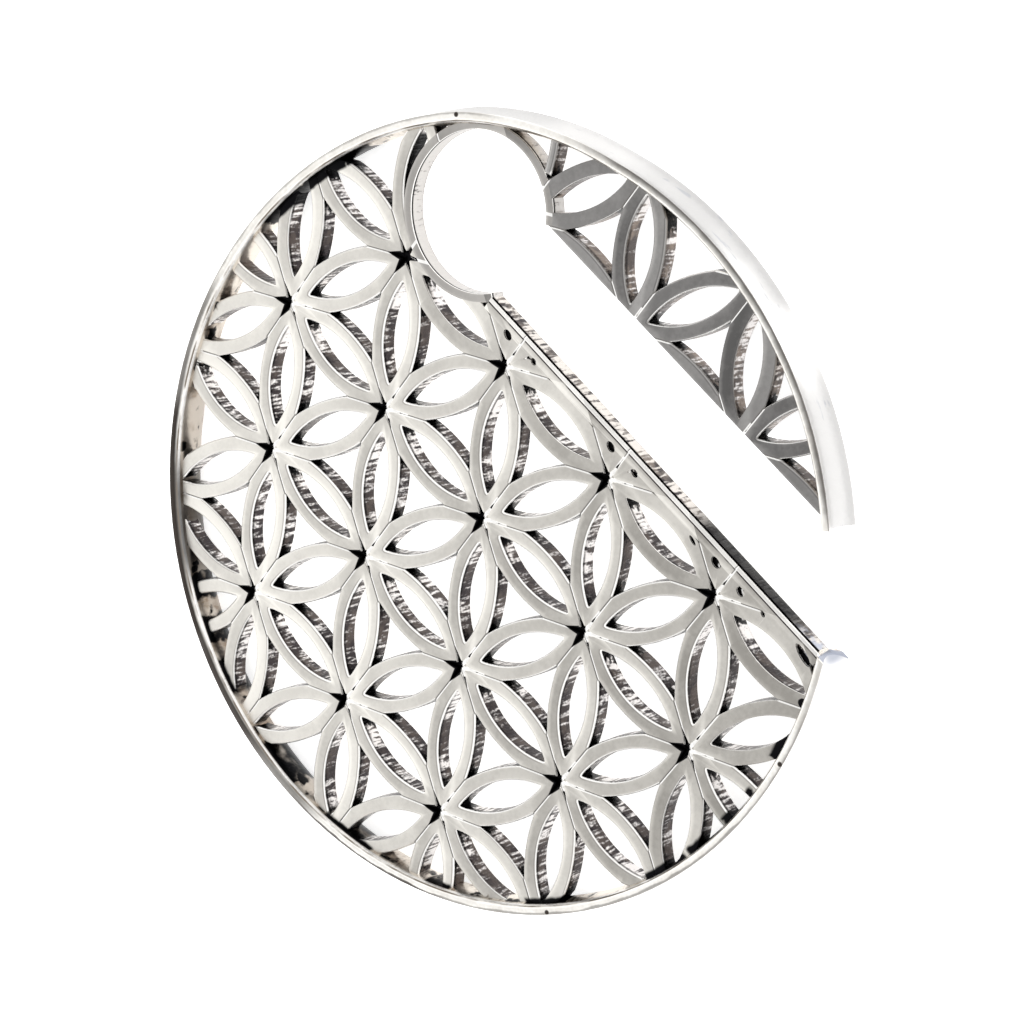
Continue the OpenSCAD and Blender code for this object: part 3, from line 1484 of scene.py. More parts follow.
class CastStreaks(EffectGroup):
    """The ribs that the mould left across the walls: clean metal with painted reflections on some
    lengths, soot on others.
    """

    name = "cast_streaks"
    inputs = (*EffectGroup.inputs, ("Level", "NodeSocketFloat", 0.4))
    outputs = ("Bright", "Warm", "Height")
    rib_scale = 3600.0
    grain_scale = 6500.0
    length_scale = 330.0
    warm_scale = 700.0
    rib_share = 0.72
    grain_share = 0.28
    swing = 1.5

    @classmethod
    def wire(cls, desk: NodeDesk, given: NodeOutputs) -> tuple[NodeSocket, ...]:
        """Stretches a fine noise down the wall, and lets a slow one say how much of it shows
        painted reflections.

        Args:
            desk: The desk of its node group.
            given: The place, and the share of clean metal with painted reflections.

        Returns:
            How much painted reflection, how brown and how high the point is.
        """
        down = desk.scaled(given["Place"], 1.0, 1.0, 0.16)
        skew = desk.scaled(given["Place"], 1.0, 1.0, 0.55)
        ribs = desk.ramp(desk.noise(down, cls.rib_scale, 1.0), 0.33, 0.67)
        grain = desk.ramp(desk.noise(skew, cls.grain_scale, 1.0), 0.33, 0.67)
        lengths = desk.noise(down, cls.length_scale, 1.0)
        mixed = desk.plus(desk.times(ribs, cls.rib_share), desk.times(grain, cls.grain_share))
        level = desk.plus(given["Level"], desk.times(desk.minus(lengths, 0.5), cls.swing))
        bare_glint = desk.ramp(desk.minus(mixed, desk.minus(1.0, level)), -0.4, 0.34)
        warm = desk.ramp(desk.noise(given["Place"], cls.warm_scale), 0.4, 0.62)
        return desk.times(bare_glint, bare_glint), warm, mixed


class DepthZones(EffectGroup):
    """Where a point lies between the front face, its rounded edge, the wall and the back."""

    name = "depth_zones"
    inputs = (
        *EffectGroup.inputs,
        ("Front", "NodeSocketFloat", 2.6 * MM),
        ("Edge", "NodeSocketFloat", 0.23 * MM),
        ("Back", "NodeSocketFloat", 1.15 * MM),
    )
    outputs = ("Shoulder", "Edge", "Wall", "Under")

    @classmethod
    def wire(cls, desk: NodeDesk, given: NodeOutputs) -> tuple[NodeSocket, ...]:
        """Reads the height of the point, and sorts it into zones.

        Args:
            desk: The desk of its node group.
            given: The place, the two faces' heights and how deep the rounded edge is.

        Returns:
            The shoulder, the rounded edge, the wall and the line under the edge.
        """
        height = desk.parts(given["Place"])["Z"]
        depth = desk.math("DIVIDE", desk.minus(given["Front"], height), given["Edge"])
        lift = desk.math("DIVIDE", desk.minus(height, given["Back"]), given["Edge"])
        shoulder = desk.band(depth, 0.03, 0.13, 0.03)
        edge = desk.times(desk.ramp(depth, 0.12, 0.24), desk.ramp(depth, 0.68, 0.5))
        wall = desk.times(desk.ramp(depth, 0.5, 0.68), desk.ramp(lift, 0.1, 0.35))
        under = desk.times(desk.ramp(depth, 0.62, 0.8), desk.ramp(depth, 1.9, 1.2))
        return shoulder, edge, wall, under


class FlowerPlace(EffectGroup):
    """Where a point lies on its petal, told from the nearest flower's centre."""

    name = "flower_place"
    outputs = ("Lit", "Black", "Side", "Bright seam", "Dim seam", "Wedge")
    # The angles below set where light and shade are painted round each flower: on the walls, along
    # the seams, across the strands, in the pits' wedge and at the petals' tips.
    lit_from = 225.0
    seam_lit_from = 110.0
    filled_from = -20.0
    tip_black_from = -35.0
    bright_side = -33.0
    wedge_from = 150.0
    ragged_scale = 2600.0
    ragged_by = 2.2
    strand_mm = 1.5

    @classmethod
    def wire(cls, desk: NodeDesk, given: NodeOutputs) -> tuple[NodeSocket, ...]:
        """Reads the distance and the angle from the nearest flower, and sorts by both.

        Args:
            desk: The desk of its node group.
            given: The place.

        Returns:
            The painted light on the walls; the black at tips, corners and pits, partly soot and
            partly painted shade; the painted light across the strand; the painted highlight and the
            painted shade along the seams; and the wedge of painted shade in the pit.
        """
        found, reach = cls._nearest(desk, given["Place"])
        sides = desk.parts(found)
        angle = desk.math("ARCTAN2", sides["Y"], sides["X"])
        # Painted light on the walls that face one way, fading out away from the flower's centre.
        lit = desk.times(
            desk.ramp(desk.pointing(angle, cls.lit_from), -0.7, 0.75),
            desk.ramp(reach, 5.1, 2.7),
        )
        sixth = math.radians(SEAM_LEAN)
        off = desk.math("WRAP", desk.minus(angle, sixth), sixth, -sixth)
        gap = desk.times(reach, desk.math("SINE", desk.minus(sixth, desk.math("ABSOLUTE", off))))
        axis = desk.minus(angle, off)
        facing = desk.plus(axis, desk.times(desk.math("SIGN", off), math.radians(120)))
        filled = desk.times(
            desk.ramp(desk.pointing(angle, cls.filled_from), 0.35, 0.7),
            desk.ramp(reach, 2.3, 1.8),
        )
        # A painted highlight along each seam's lit side and painted shade along its other side; a
        # filled seam counts as lit.
        lit_seam = desk.most(
            desk.math("SIGN", desk.pointing(facing, cls.seam_lit_from)),
            desk.minus(desk.times(filled, 2.0), 1.0),
        )
        on_seam = desk.ramp(reach, 3.7, 3.4)
        bright = desk.times(desk.ramp(gap, 0.13, 0.09), desk.ramp(lit_seam, 0.0, 0.2), on_seam)
        dim = desk.times(desk.ramp(gap, 0.09, 0.05), desk.ramp(lit_seam, 0.0, -0.2), on_seam)
        # A wedge of painted shade in the pit, on one side of the flower only.
        open_to = desk.times(desk.minus(1.6, reach), 0.3)
        wedge = desk.times(
            desk.ramp(desk.minus(gap, open_to), 0.03, -0.03),
            desk.ramp(desk.pointing(angle, cls.wedge_from), 0.4, 0.5),
        )
        # Painted light and shade across each strand, lighter on one side.
        width = desk.times(desk.math("SINE", off), reach, 1 / cls.strand_mm)
        side = desk.times(width, desk.pointing(axis, cls.bright_side - 90))
        # Black in the pit, partly soot and partly painted shade, but not where the seam is filled.
        pit = desk.times(desk.ramp(reach, 1.78, 1.62), desk.minus(1.0, filled))
        soot = cls._soot(desk, given["Place"], reach, angle)
        return lit, desk.most(*soot, pit), side, bright, dim, wedge

    @classmethod
    def _nearest(cls, desk: NodeDesk, place: NodeSocket) -> tuple[NodeSocket, NodeSocket]:
        """Finds the nearest flower in two square grids.

        Args:
            desk: The desk of the node group.
            place: The place, round the disc's centre.

        Returns:
            The way from the flower's centre, and its length in millimetres.
        """
        cell = Vector((COLUMN, PITCH / 2, 1.0))
        flat = desk.flat(place)
        moved = desk.vector("ADD", flat, (cell.x, cell.y, 0.0))
        own, other = (desk.vector("WRAP", at, tuple(cell), tuple(-cell)) for at in (flat, moved))
        own_reach, other_reach = (desk.vector("LENGTH", way) for way in (own, other))
        nearer = desk.math("LESS_THAN", other_reach, own_reach)
        found = desk.mix("VECTOR", "Vector", nearer, own, other)
        return found, desk.math("DIVIDE", desk.math("MINIMUM", own_reach, other_reach), MM)

    @classmethod
    def _soot(
        cls, desk: NodeDesk, place: NodeSocket, reach: NodeSocket, angle: NodeSocket
    ) -> tuple[NodeSocket, NodeSocket]:
        """Finds the black at the petals' tips on one side and in the corners between petals: partly
        soot, partly painted shade, with ragged borders.

        Args:
            desk: The desk of the node group.
            place: The place.
            reach: Distance from the flower's centre, in millimetres.
            angle: Direction from there.

        Returns:
            The black at the petals' tips and in the corners between petals.
        """
        ragged = desk.minus(desk.noise(place, cls.ragged_scale), 0.5)
        rough_reach = desk.plus(reach, desk.times(ragged, cls.ragged_by))
        seam = desk.math("COSINE", desk.times(angle, 6.0))
        tip = desk.times(
            desk.ramp(rough_reach, 2.75, 2.35),
            desk.ramp(desk.pointing(angle, cls.tip_black_from), 0.1, 0.5),
            desk.ramp(seam, 0.2, -0.2),
        )
        return tip, desk.times(desk.ramp(seam, 0.3, 0.6), desk.ramp(rough_reach, 4.6, 4.0))


class JointSootAndShade(EffectGroup):
    """The black where the lattice meets the rim, at the listed places: partly soot and partly
    painted shade in the joint.
    """

    name = "joint_soot_and_shade"
    outputs = ("Soot",)
    spots = (
        (5.6, 26.6, 2.6), (9.6, 25.4, 2.6), (12.6, 24.1, 1.6), (-22.6, 15.2, 1.2),
        (-24.4, 12.3, 1.3), (-25.5, 8.7, 1.6), (-27.2, 1.0, 2.2), (-26.4, -6.5, 2.4),
        (-23.2, -14.6, 1.2), (-16.8, -21.5, 2.2), (-7.2, -26.3, 2.2), (-3.5, -27.0, 2.0),
        (0.2, -27.3, 2.0), (6.0, -26.6, 1.4), (9.3, -25.9, 0.4),
    )
    joint_r = 26.7
    joint_soft = 0.25
    ragged_scale = 900.0
    spot_ragged = 0.9
    edge_ragged = 0.4

    @classmethod
    def wire(cls, desk: NodeDesk, given: NodeOutputs) -> tuple[NodeSocket, ...]:
        """Joins soft round spots with a ragged border, near the rim only.

        Args:
            desk: The desk of its node group.
            given: The place.

        Returns:
            The soot and painted shade.
        """
        flat = desk.flat(given["Place"])
        ragged = desk.minus(desk.noise(given["Place"], cls.ragged_scale), 0.5)
        found = []
        for x, y, radius in cls.spots:
            gap = desk.vector("DISTANCE", flat, (x * MM, y * MM, 0.0))
            share = desk.math("DIVIDE", gap, radius * MM)
            found.append(desk.ramp(desk.plus(share, desk.times(ragged, cls.spot_ragged)), 1.0, 0.8))
        reach = desk.math("DIVIDE", desk.vector("LENGTH", flat), MM)
        edge = desk.plus(reach, desk.times(ragged, cls.edge_ragged))
        near = desk.ramp(edge, cls.joint_r, cls.joint_r + cls.joint_soft)
        return (desk.times(desk.most(*found), near),)


class SatinClouds(EffectGroup):
    """Soft cloudy shade and fine pitting on a satin face, and painted light that grows toward one
    side.
    """

    name = "satin_clouds"
    outputs = ("Shade", "Grain", "Polish")
    slow_scale = 420.0
    fine_scale = 3300.0
    slow_share = 0.62
    fine_share = 0.38
    light_fade_from = 127.0
    middle = 0.48
    slope = 0.0135

    @classmethod
    def wire(cls, desk: NodeDesk, given: NodeOutputs) -> tuple[NodeSocket, ...]:
        """Lays a slow noise under a fine one, and a long even change of painted light under both.

        Args:
            desk: The desk of its node group.
            given: The place.

        Returns:
            The cloudy shade, the fine grain and the painted light, which grows toward one side.
        """
        slow = desk.noise(given["Place"], cls.slow_scale)
        fine = desk.noise(given["Place"], cls.fine_scale, 2.0)
        shade = desk.plus(desk.times(slow, cls.slow_share), desk.times(fine, cls.fine_share))
        sides = desk.parts(given["Place"])
        side = toward(cls.light_fade_from) * cls.slope / MM
        along = desk.plus(desk.times(sides["X"], side.x), desk.times(sides["Y"], side.y))
        return desk.ramp(shade, 0.36, 0.64), fine, desk.plus(along, cls.middle)


@dataclass(frozen=True)
class MetalFinish:
    """What the finishes of all the pieces share."""

    name: str
    centre_x: float

    def material(self) -> Material:
        """Builds the material, which each finish does in its own way."""
        raise NotImplementedError

    def _start(self) -> tuple[Material, NodeDesk, Node]:
        """Makes a bare metal.

        Returns:
            The material, its desk and its shader.
        """
        made = bpy.data.materials.new(self.name)
        made.use_nodes = True
        shader = made.node_tree.nodes["Principled BSDF"]
        shader.inputs["Metallic"].default_value = 1.0
        return made, NodeDesk(made.node_tree), shader

    def _places(self, desk: NodeDesk) -> tuple[NodeSocket, NodeSocket]:
        """The place in the part, and the place round this piece's own centre."""
        place = desk.node("ShaderNodeTexCoord").outputs["Object"]
        return place, desk.vector("ADD", place, (-self.centre_x, 0.0, 0.0))


@dataclass(frozen=True)
class LatticePoint:
    """What a lattice finish reads at a point: its place, its side and the shared effects."""

    place: NodeSocket
    look: NodeSocket
    zones: NodeOutputs
    ribs: NodeOutputs
    flower: NodeOutputs


@dataclass(frozen=True)
class LatticeFinish(MetalFinish):
    """Silver plate on the lattice: a satin face with painted light and shade, rubbed edges with a
    painted highlight, and ribbed walls with painted reflections, soot and painted shade.
    """

    # Colours: the satin's light and dark ends, chosen between mostly by painted light; a shoulder
    # of painted shade inside the edge; the edge's painted highlight, with its own colour on the
    # side seen from; black and soot; brown; clean wall metal with painted reflections; and the
    # seams' painted shade.
    face: Colour = (0.87, 0.845, 0.79)
    face_dark: Colour = (0.33, 0.315, 0.29)
    shoulder: Colour = (0.25, 0.235, 0.22)
    edge: Colour = (0.98, 0.97, 0.95)
    near_edge: Colour = (0.98, 0.97, 0.95)
    black: Colour = (0.006, 0.006, 0.007)
    soot: Colour = (0.045, 0.038, 0.04)
    brown: Colour = (0.095, 0.078, 0.072)
    bare_glint: Colour = (0.86, 0.83, 0.82)
    groove: Colour = (0.2, 0.19, 0.18)
    wall_level: float = 0.28
    lit_gain: float = 0.42
    cloud_gain: float = 0.14
    side_gain: float = 0.26
    shoulder_gain: float = 0.55
    black_gain: float = 1.0
    far_gain: float = 0.3
    seam_gain: float = 0.9
    under_gain: float = 0.75
    under_scale: float = 520.0
    under_broken_up: Span = (0.4, 0.54)
    edge_depth: float = 0.23 * MM
    pits_from: float = 11.25 * MM
    pits_to: float = 12.15 * MM
    pits_below: float = 8.5 * MM
    pit_floor: float = 2.3 * MM
    pocket: Corner = (15.0 * MM, 20.4 * MM, 0.0)
    pocket_r: float = 2.7 * MM
    front: float = 2.6 * MM
    face_rough: float = 0.4
    wall_rough: float = 0.3
    grain_gain: float = 0.12
    relief: float = 0.05 * MM
    relief_strength: float = 0.6

    def material(self) -> Material:
        """Builds the material.

        Returns:
            The material.
        """
        made, desk, shader = self._start()
        place, own = self._places(desk)
        clouds = SatinClouds.use(desk, Place=place)
        flower = FlowerPlace.use(desk, Place=own)
        # Walls show more painted reflection where the flower's painted light falls.
        level = desk.plus(desk.times(flower["Lit"], self.lit_gain), self.wall_level)
        at = LatticePoint(
            place,
            desk.mark(SIDE),
            DepthZones.use(desk, Place=place, Front=self.front, Edge=self.edge_depth),
            CastStreaks.use(desk, Place=place, Level=level),
            flower,
        )
        # The satin's tone: painted light that grows toward one side, a random cloudy tone, painted
        # light and shade across each strand, and a painted highlight on the rounding that faces
        # away from the camera.
        tone = desk.plus(
            clouds["Polish"],
            desk.times(desk.minus(clouds["Shade"], 0.5), self.cloud_gain),
            desk.times(flower["Side"], self.side_gain),
            desk.times(desk.ramp(at.look, -0.1, -0.95), self.far_gain),
        )
        colour = self._face(desk, at, tone)
        # A painted highlight along each seam's lit side, and painted shade along its other side.
        for seam, shade in (("Bright seam", self.edge), ("Dim seam", self.groove)):
            colour = desk.blend(desk.times(flower[seam], self.seam_gain), colour, shade)
        colour = desk.blend(at.zones["Wall"], colour, self._walls(desk, at))
        # A dark line of painted shade under the rounded edge, broken up by noise.
        broken_up = desk.ramp(desk.noise(place, self.under_scale), *self.under_broken_up)
        under = desk.times(at.zones["Under"], broken_up, self.under_gain)
        colour = desk.blend(under, colour, self.black)
        # Black at the rim's joints, partly soot and partly painted shade, and a wedge of painted
        # shade in the pits.
        wedge = desk.times(flower["Wedge"], self.black_gain)
        soot = desk.most(JointSootAndShade.use(desk, Place=place)["Soot"], wedge)
        desk.feed(shader.inputs["Base Color"], desk.blend(soot, colour, self.black))
        span = {"To_Min": self.face_rough, "To_Max": self.wall_rough}
        rough = desk.node("ShaderNodeMapRange", Value=at.zones["Wall"], **span)
        desk.feed(shader.inputs["Roughness"], rough.outputs[0])
        grain = desk.times(clouds["Grain"], self.grain_gain)
        height = desk.plus(grain, desk.times(at.ribs["Height"], at.zones["Wall"]))
        normal = desk.bump(height, self.relief, self.relief_strength)
        desk.feed(shader.inputs["Normal"], normal)
        return made

    def _face(self, desk: NodeDesk, at: LatticePoint, tone: NodeSocket) -> NodeSocket:
        """Colours the satin face, its darker shoulder of painted shade on the side seen from, and
        its bright edge, rubbed and with a painted highlight.

        Args:
            desk: The material's desk.
            at: What is known of the point.
            tone: How light the satin is.

        Returns:
            The colour.
        """
        near = desk.times(at.zones["Shoulder"], desk.ramp(at.look, 0.1, 0.6))
        satin = desk.blend(tone, self.face_dark, self.face)
        shown = desk.blend(desk.times(near, self.shoulder_gain), satin, self.shoulder)
        edge = desk.blend(desk.ramp(at.look, 0.35, 0.85), self.edge, self.near_edge)
        return desk.blend(at.zones["Edge"], shown, edge)

    def _walls(self, desk: NodeDesk, at: LatticePoint) -> NodeSocket:
        """Colours the ribbed walls: painted reflections on the ribs; black at the petals' tips,
        corners and pits, partly soot and partly painted shade; black in the edging's pits and a
        pocket; and a painted highlight on the edging pits' floors.

        Args:
            desk: The material's desk.
            at: What is known of the point.

        Returns:
            The colour.
        """
        dark_tone = desk.blend(at.ribs["Warm"], self.soot, self.brown)
        wall = desk.blend(at.ribs["Bright"], dark_tone, self.bare_glint)
        black = desk.times(at.flower["Black"], self.black_gain)
        sides = desk.parts(at.place)
        # Black in the edging's pits, partly soot and partly painted shade.
        pits = desk.times(
            desk.band(sides["X"], self.pits_from, self.pits_to, 5 * NEAR),
            desk.ramp(sides["Y"], self.pits_below, self.pits_below - 20 * NEAR),
            self.black_gain,
        )
        gap = desk.vector("DISTANCE", desk.flat(at.place), self.pocket)
        pocket = desk.times(desk.ramp(gap, self.pocket_r, 0.8 * self.pocket_r), self.black_gain)
        wall = desk.blend(desk.most(black, pits, pocket), wall, self.black)
        # A painted highlight on the edging pits' floors, on the side turned from the camera.
        low = desk.ramp(sides["Z"], self.pit_floor + 5 * NEAR, self.pit_floor + NEAR)
        crescent = desk.times(pits, low, desk.ramp(at.look, 0.5, 0.25))
        return desk.blend(crescent, wall, self.edge)


@dataclass(frozen=True)
class EdgingFinish(LatticeFinish):
    """The edging's own face and wall: a painted highlight on its bead, a dark line of painted shade
    at the bead's foot, and a blacker lower half.
    """

    shoulder_gain: float = 0.0
    bead_gain: float = 0.6
    line_from: float = 12.28 * MM
    line_to: float = 12.4 * MM
    line_scale: float = 500.0
    dark_gain: float = 0.96
    dark_from: float = -12.0 * MM
    dark_to: float = -22.5 * MM
    dark_soft: float = 1.5 * MM
    cool_before: float = 1 * MM
    cool: Colour = (0.42, 0.44, 0.50)
    cool_scale: float = 900.0

    def _face(self, desk: NodeDesk, at: LatticePoint, tone: NodeSocket) -> NodeSocket:
        """Colours the satin face and the white bead with its painted highlight, and a dark line of
        painted shade at the bead's foot, broken up by noise.

        Args:
            desk: The material's desk.
            at: What is known of the point.
            tone: How light the satin is.

        Returns:
            The colour.
        """
        shown = super()._face(desk, at, tone)
        across = desk.parts(at.place)["X"]
        # A painted highlight on the bead.
        bead = desk.ramp(across, self.line_to, self.line_to + 6 * NEAR)
        shown = desk.blend(desk.times(bead, self.bead_gain), shown, self.edge)
        # A dark line of painted shade in the crease at the bead's foot.
        line = desk.band(across, self.line_from, self.line_to, 3 * NEAR)
        broken_up = desk.ramp(desk.noise(at.place, self.line_scale, 2.0), 0.25, 0.45)
        return desk.blend(desk.times(line, broken_up), shown, self.soot)

    def _walls(self, desk: NodeDesk, at: LatticePoint) -> NodeSocket:
        """Colours the slot's wall: brown by the hole, black below, and cool at its end.

        Args:
            desk: The material's desk.
            at: What is known of the point.

        Returns:
            The colour.
        """
        wall = super()._walls(desk, at)
        along = desk.parts(at.place)["Y"]
        dark = desk.band(along, self.dark_to, self.dark_from, self.dark_soft)
        wall = desk.blend(desk.times(dark, self.dark_gain), wall, self.black)
        cool_from, cool_to = self.dark_to + self.cool_before, self.dark_to - self.dark_soft
        end = desk.ramp(along, cool_from, cool_to)
        streak = desk.ramp(desk.noise(at.place, self.cool_scale, 2.0), 0.4, 0.6)
        return desk.blend(desk.times(end, streak), wall, self.cool)


@dataclass(frozen=True)
class DarkStretch:
    """One dark stretch of the rim's lip, by its angles in degrees: partly oxide, partly painted
    shade where the rounded lip turns away from the light.

    The dark runs from where the lip faces inward by one share out to another.
    """

    middle: float
    half: float
    depth: float
    inner: float
    outer: float
    soft: float = 4.0


@dataclass(frozen=True)
class FaceTint:
    """One stretch of the rim's outer face that is painted greyer, from one height down to another:
    painted shadow under the lip, and grey toward the hollow's bottom that is partly the metal's own
    and partly painted shade.
    """

    middle: float
    half: float
    share: float
    high: float = 2.2 * MM
    low: float = 0.5 * MM
    soft: float = 3.0


@dataclass(frozen=True)
class RimPoint:
    """What the rim's finish reads at a point of the rim."""

    place: NodeSocket
    height: NodeSocket
    angle: NodeSocket
    facing: NodeSocket
    ribs: NodeOutputs


@dataclass(frozen=True)
class RimFinish(MetalFinish):
    """The rim: a pale lip, dark in stretches of oxide and painted shade; a bright outside with
    painted shade; a patchy inside, black at the joints with soot and painted shade.
    """

    rough: float = 0.32
    rib_level: float = 0.75
    relief: float = 0.03 * MM
    relief_strength: float = 0.35
    lip: Colour = (0.97, 0.95, 0.91)
    lip_dull: Colour = (0.86, 0.83, 0.78)
    lip_from: float = 2.98 * MM
    line: Colour = (0.20, 0.17, 0.14)
    line_scale: float = 380.0
    dark_tone: Colour = (0.05, 0.042, 0.037)
    wave_scale: float = 700.0
    wave: float = 0.25
    # Dark stretches of the lip: partly oxide, partly painted shade where the lip turns away from
    # the light.
    stretches: tuple[DarkStretch, ...] = (
        DarkStretch(-14.0, 34.0, 0.86, 0.26, -0.2, 8.0),
        DarkStretch(68.0, 30.0, 0.5, 0.0, -0.14),
        DarkStretch(106.0, 8.0, 0.78, 0.4, 0.0),
        DarkStretch(136.0, 22.0, 1.0, 0.9, 0.08, 6.0),
        DarkStretch(135.0, 9.0, 0.85, 1.7, 0.7),
        DarkStretch(164.0, 9.0, 0.96, 1.2, 0.3),
        DarkStretch(179.0, 7.0, 0.72, 1.5, 0.6),
        DarkStretch(198.0, 13.0, 0.88, -0.01, -0.08),
        DarkStretch(240.0, 34.0, 0.6, 0.0, -0.1),
        DarkStretch(281.0, 6.0, 0.62, 0.0, -0.2),
        DarkStretch(292.0, 5.0, 0.3, 0.2, -0.1),
    )
    nicks: tuple[float, ...] = (43.5, 232.0, 280.1)
    nick_r: float = 0.22 * MM
    nick_at: Span = (27.95 * MM, 3.2 * MM)
    cream: Colour = (0.93, 0.87, 0.79)
    brown: Colour = (0.28, 0.22, 0.17)
    tan: Colour = (0.42, 0.37, 0.32)
    black: Colour = (0.006, 0.006, 0.007)
    patch_scale: float = 420.0
    rib_gain: float = 0.6
    browned: tuple[float, float, float] = (152.0, 48.0, 14.0)
    browned_gain: float = 0.75
    joint_low: float = 1.0 * MM
    joint_high: float = 2.78 * MM
    stray_scale: float = 640.0
    # A black stretch painted down the inner face.
    black_stretch: tuple[float, float, float] = (136.0, 8.0, 4.0)
    black_stretch_gain: float = 0.8
    outside: Colour = (0.97, 0.955, 0.94)
    outside_cool: Colour = (0.26, 0.28, 0.34)
    # A cool spot of painted shade on the outer hollow, near the rim's end.
    corner: Corner = (13.0 * MM, -25.3 * MM, 1.3 * MM)
    corner_r: float = 1.5 * MM
    corner_gain: float = 0.85
    cool_streak_scale: float = 1700.0
    cool_streak_gain: float = 0.35
    end_x: float = 12.70 * MM
    end_gain: float = 0.9
    tint: Colour = (0.475, 0.47, 0.465)
    # Greyer stretches of the outer face: painted shadow under the lip, and grey toward the hollow's
    # bottom, partly the metal's own and partly painted shade.
    tints: tuple[FaceTint, ...] = (
        FaceTint(0.0, 180.0, 0.53),
        FaceTint(-9.0, 6.0, 0.83),
        FaceTint(1.0, 6.0, 0.42),
        FaceTint(135.0, 105.0, 0.6),
        FaceTint(-37.0, 12.0, 0.8, 3.1 * MM, 2.0 * MM, 5.0),
        FaceTint(6.0, 9.0, 0.85, 3.1 * MM, 2.0 * MM, 5.0),
        FaceTint(32.0, 17.0, 0.72, 3.1 * MM, 2.2 * MM, 6.0),
    )

    def material(self) -> Material:
        """Builds the material.

        Returns:
            The material.
        """
        made, desk, shader = self._start()
        place, own = self._places(desk)
        sides = desk.parts(own)
        height = sides["Z"]
        angle = desk.math("ARCTAN2", sides["Y"], sides["X"])
        ribs = CastStreaks.use(desk, Place=place, Level=self.rib_level)
        at = RimPoint(place, height, angle, desk.mark(INWARD), ribs)
        inward = desk.ramp(at.facing, 0.1, 0.45)
        walls = desk.blend(inward, self._outer(desk, at), self._inner(desk, at))
        on_lip = desk.ramp(height, self.lip_from, self.lip_from + 10 * NEAR)
        colour = desk.blend(on_lip, walls, self._lip(desk, at))
        line = desk.band(height, self.lip_from + 4 * NEAR, self.lip_from + 15 * NEAR, 2 * NEAR)
        broken_up = desk.ramp(desk.noise(place, self.line_scale), 0.34, 0.6)
        line = desk.times(line, broken_up, desk.ramp(at.facing, 0.0, 0.1))
        desk.feed(shader.inputs["Base Color"], desk.blend(line, colour, self.line))
        shader.inputs["Roughness"].default_value = self.rough
        normal = desk.bump(ribs["Height"], self.relief, self.relief_strength)
        desk.feed(shader.inputs["Normal"], normal)
        return made

    def _lip(self, desk: NodeDesk, at: RimPoint) -> NodeSocket:
        """Colours the lip, its dark stretches and the nicks in it.

        Args:
            desk: The material's desk.
            at: What is known of the point.

        Returns:
            The colour.
        """
        clouds = SatinClouds.use(desk, Place=at.place)
        lip = desk.blend(clouds["Shade"], self.lip_dull, self.lip)
        wave = desk.minus(desk.noise(at.place, self.wave_scale), 0.5)
        ragged = desk.plus(at.facing, desk.times(wave, self.wave))
        # Dark stretches of the lip, partly oxide and partly painted shade.
        for part in self.stretches:
            along = desk.stretch(at.angle, part.middle, part.half, part.soft)
            share = desk.times(along, desk.ramp(ragged, part.inner, part.outer), part.depth)
            lip = desk.blend(share, lip, self.dark_tone)
        out, up = self.nick_at
        for degrees in self.nicks:
            spot = out * toward(degrees) + self.centre_x * toward(0.0) + up * UP
            gap = desk.vector("DISTANCE", at.place, tuple(spot))
            lip = desk.blend(desk.ramp(gap, self.nick_r, 0.6 * self.nick_r), lip, self.dark_tone)
        return lip

    def _outer(self, desk: NodeDesk, at: RimPoint) -> NodeSocket:
        """Colours the bright outer hollow: greyer stretches with painted shade, a cool spot of
        painted shade near its end, a few cool streaks, and its cut end face painted cool.

        Args:
            desk: The material's desk.
            at: What is known of the point.

        Returns:
            The colour.
        """
        # A cool spot of painted shade near the rim's end.
        gap = desk.vector("DISTANCE", at.place, self.corner)
        end = desk.ramp(gap, self.corner_r, 0.4 * self.corner_r)
        long = desk.scaled(at.place, 0.25, 0.25, 1.6)
        cool_streak = desk.ramp(desk.noise(long, self.cool_streak_scale), 0.63, 0.72)
        cool = desk.most(
            desk.times(end, self.corner_gain), desk.times(cool_streak, self.cool_streak_gain)
        )
        shown = self.outside
        for part in self.tints:
            along = desk.stretch(at.angle, part.middle, part.half, part.soft)
            low = desk.ramp(at.height, part.high, part.low)
            shown = desk.blend(desk.times(along, low, part.share), shown, self.tint)
        shown = desk.blend(cool, shown, self.outside_cool)
        across = desk.parts(at.place)["X"]
        face = desk.band(across, self.end_x - 2 * NEAR, self.end_x + 2 * NEAR, NEAR)
        return desk.blend(desk.times(face, self.end_gain), shown, self.outside_cool)

    def _inner(self, desk: NodeDesk, at: RimPoint) -> NodeSocket:
        """Colours the inner face: cream and brown patches, black at the joints, partly soot and
        partly painted shade, and a black stretch.

        Args:
            desk: The material's desk.
            at: What is known of the point.

        Returns:
            The colour.
        """
        patch = desk.ramp(desk.noise(at.place, self.patch_scale), 0.42, 0.56)
        wall = desk.blend(patch, self.brown, self.cream)
        wall = desk.blend(desk.times(at.ribs["Bright"], self.rib_gain), wall, self.cream)
        browned = desk.times(desk.stretch(at.angle, *self.browned), self.browned_gain)
        wall = desk.blend(browned, wall, desk.blend(patch, self.brown, self.tan))
        over = desk.ramp(at.height, self.joint_high, self.joint_high + 10 * NEAR)
        wall = desk.blend(over, wall, self.outside)
        at_joint = desk.band(at.height, self.joint_low, self.joint_high, 15 * NEAR)
        stray = desk.ramp(desk.noise(at.place, self.stray_scale), 0.56, 0.64)
        low = desk.ramp(at.height, self.joint_high + 12 * NEAR, self.joint_high)
        soot = desk.most(
            desk.times(JointSootAndShade.use(desk, Place=at.place)["Soot"], low),
            desk.times(stray, at_joint),
            desk.times(desk.stretch(at.angle, *self.black_stretch), self.black_stretch_gain),
        )
        return desk.blend(soot, wall, self.black)


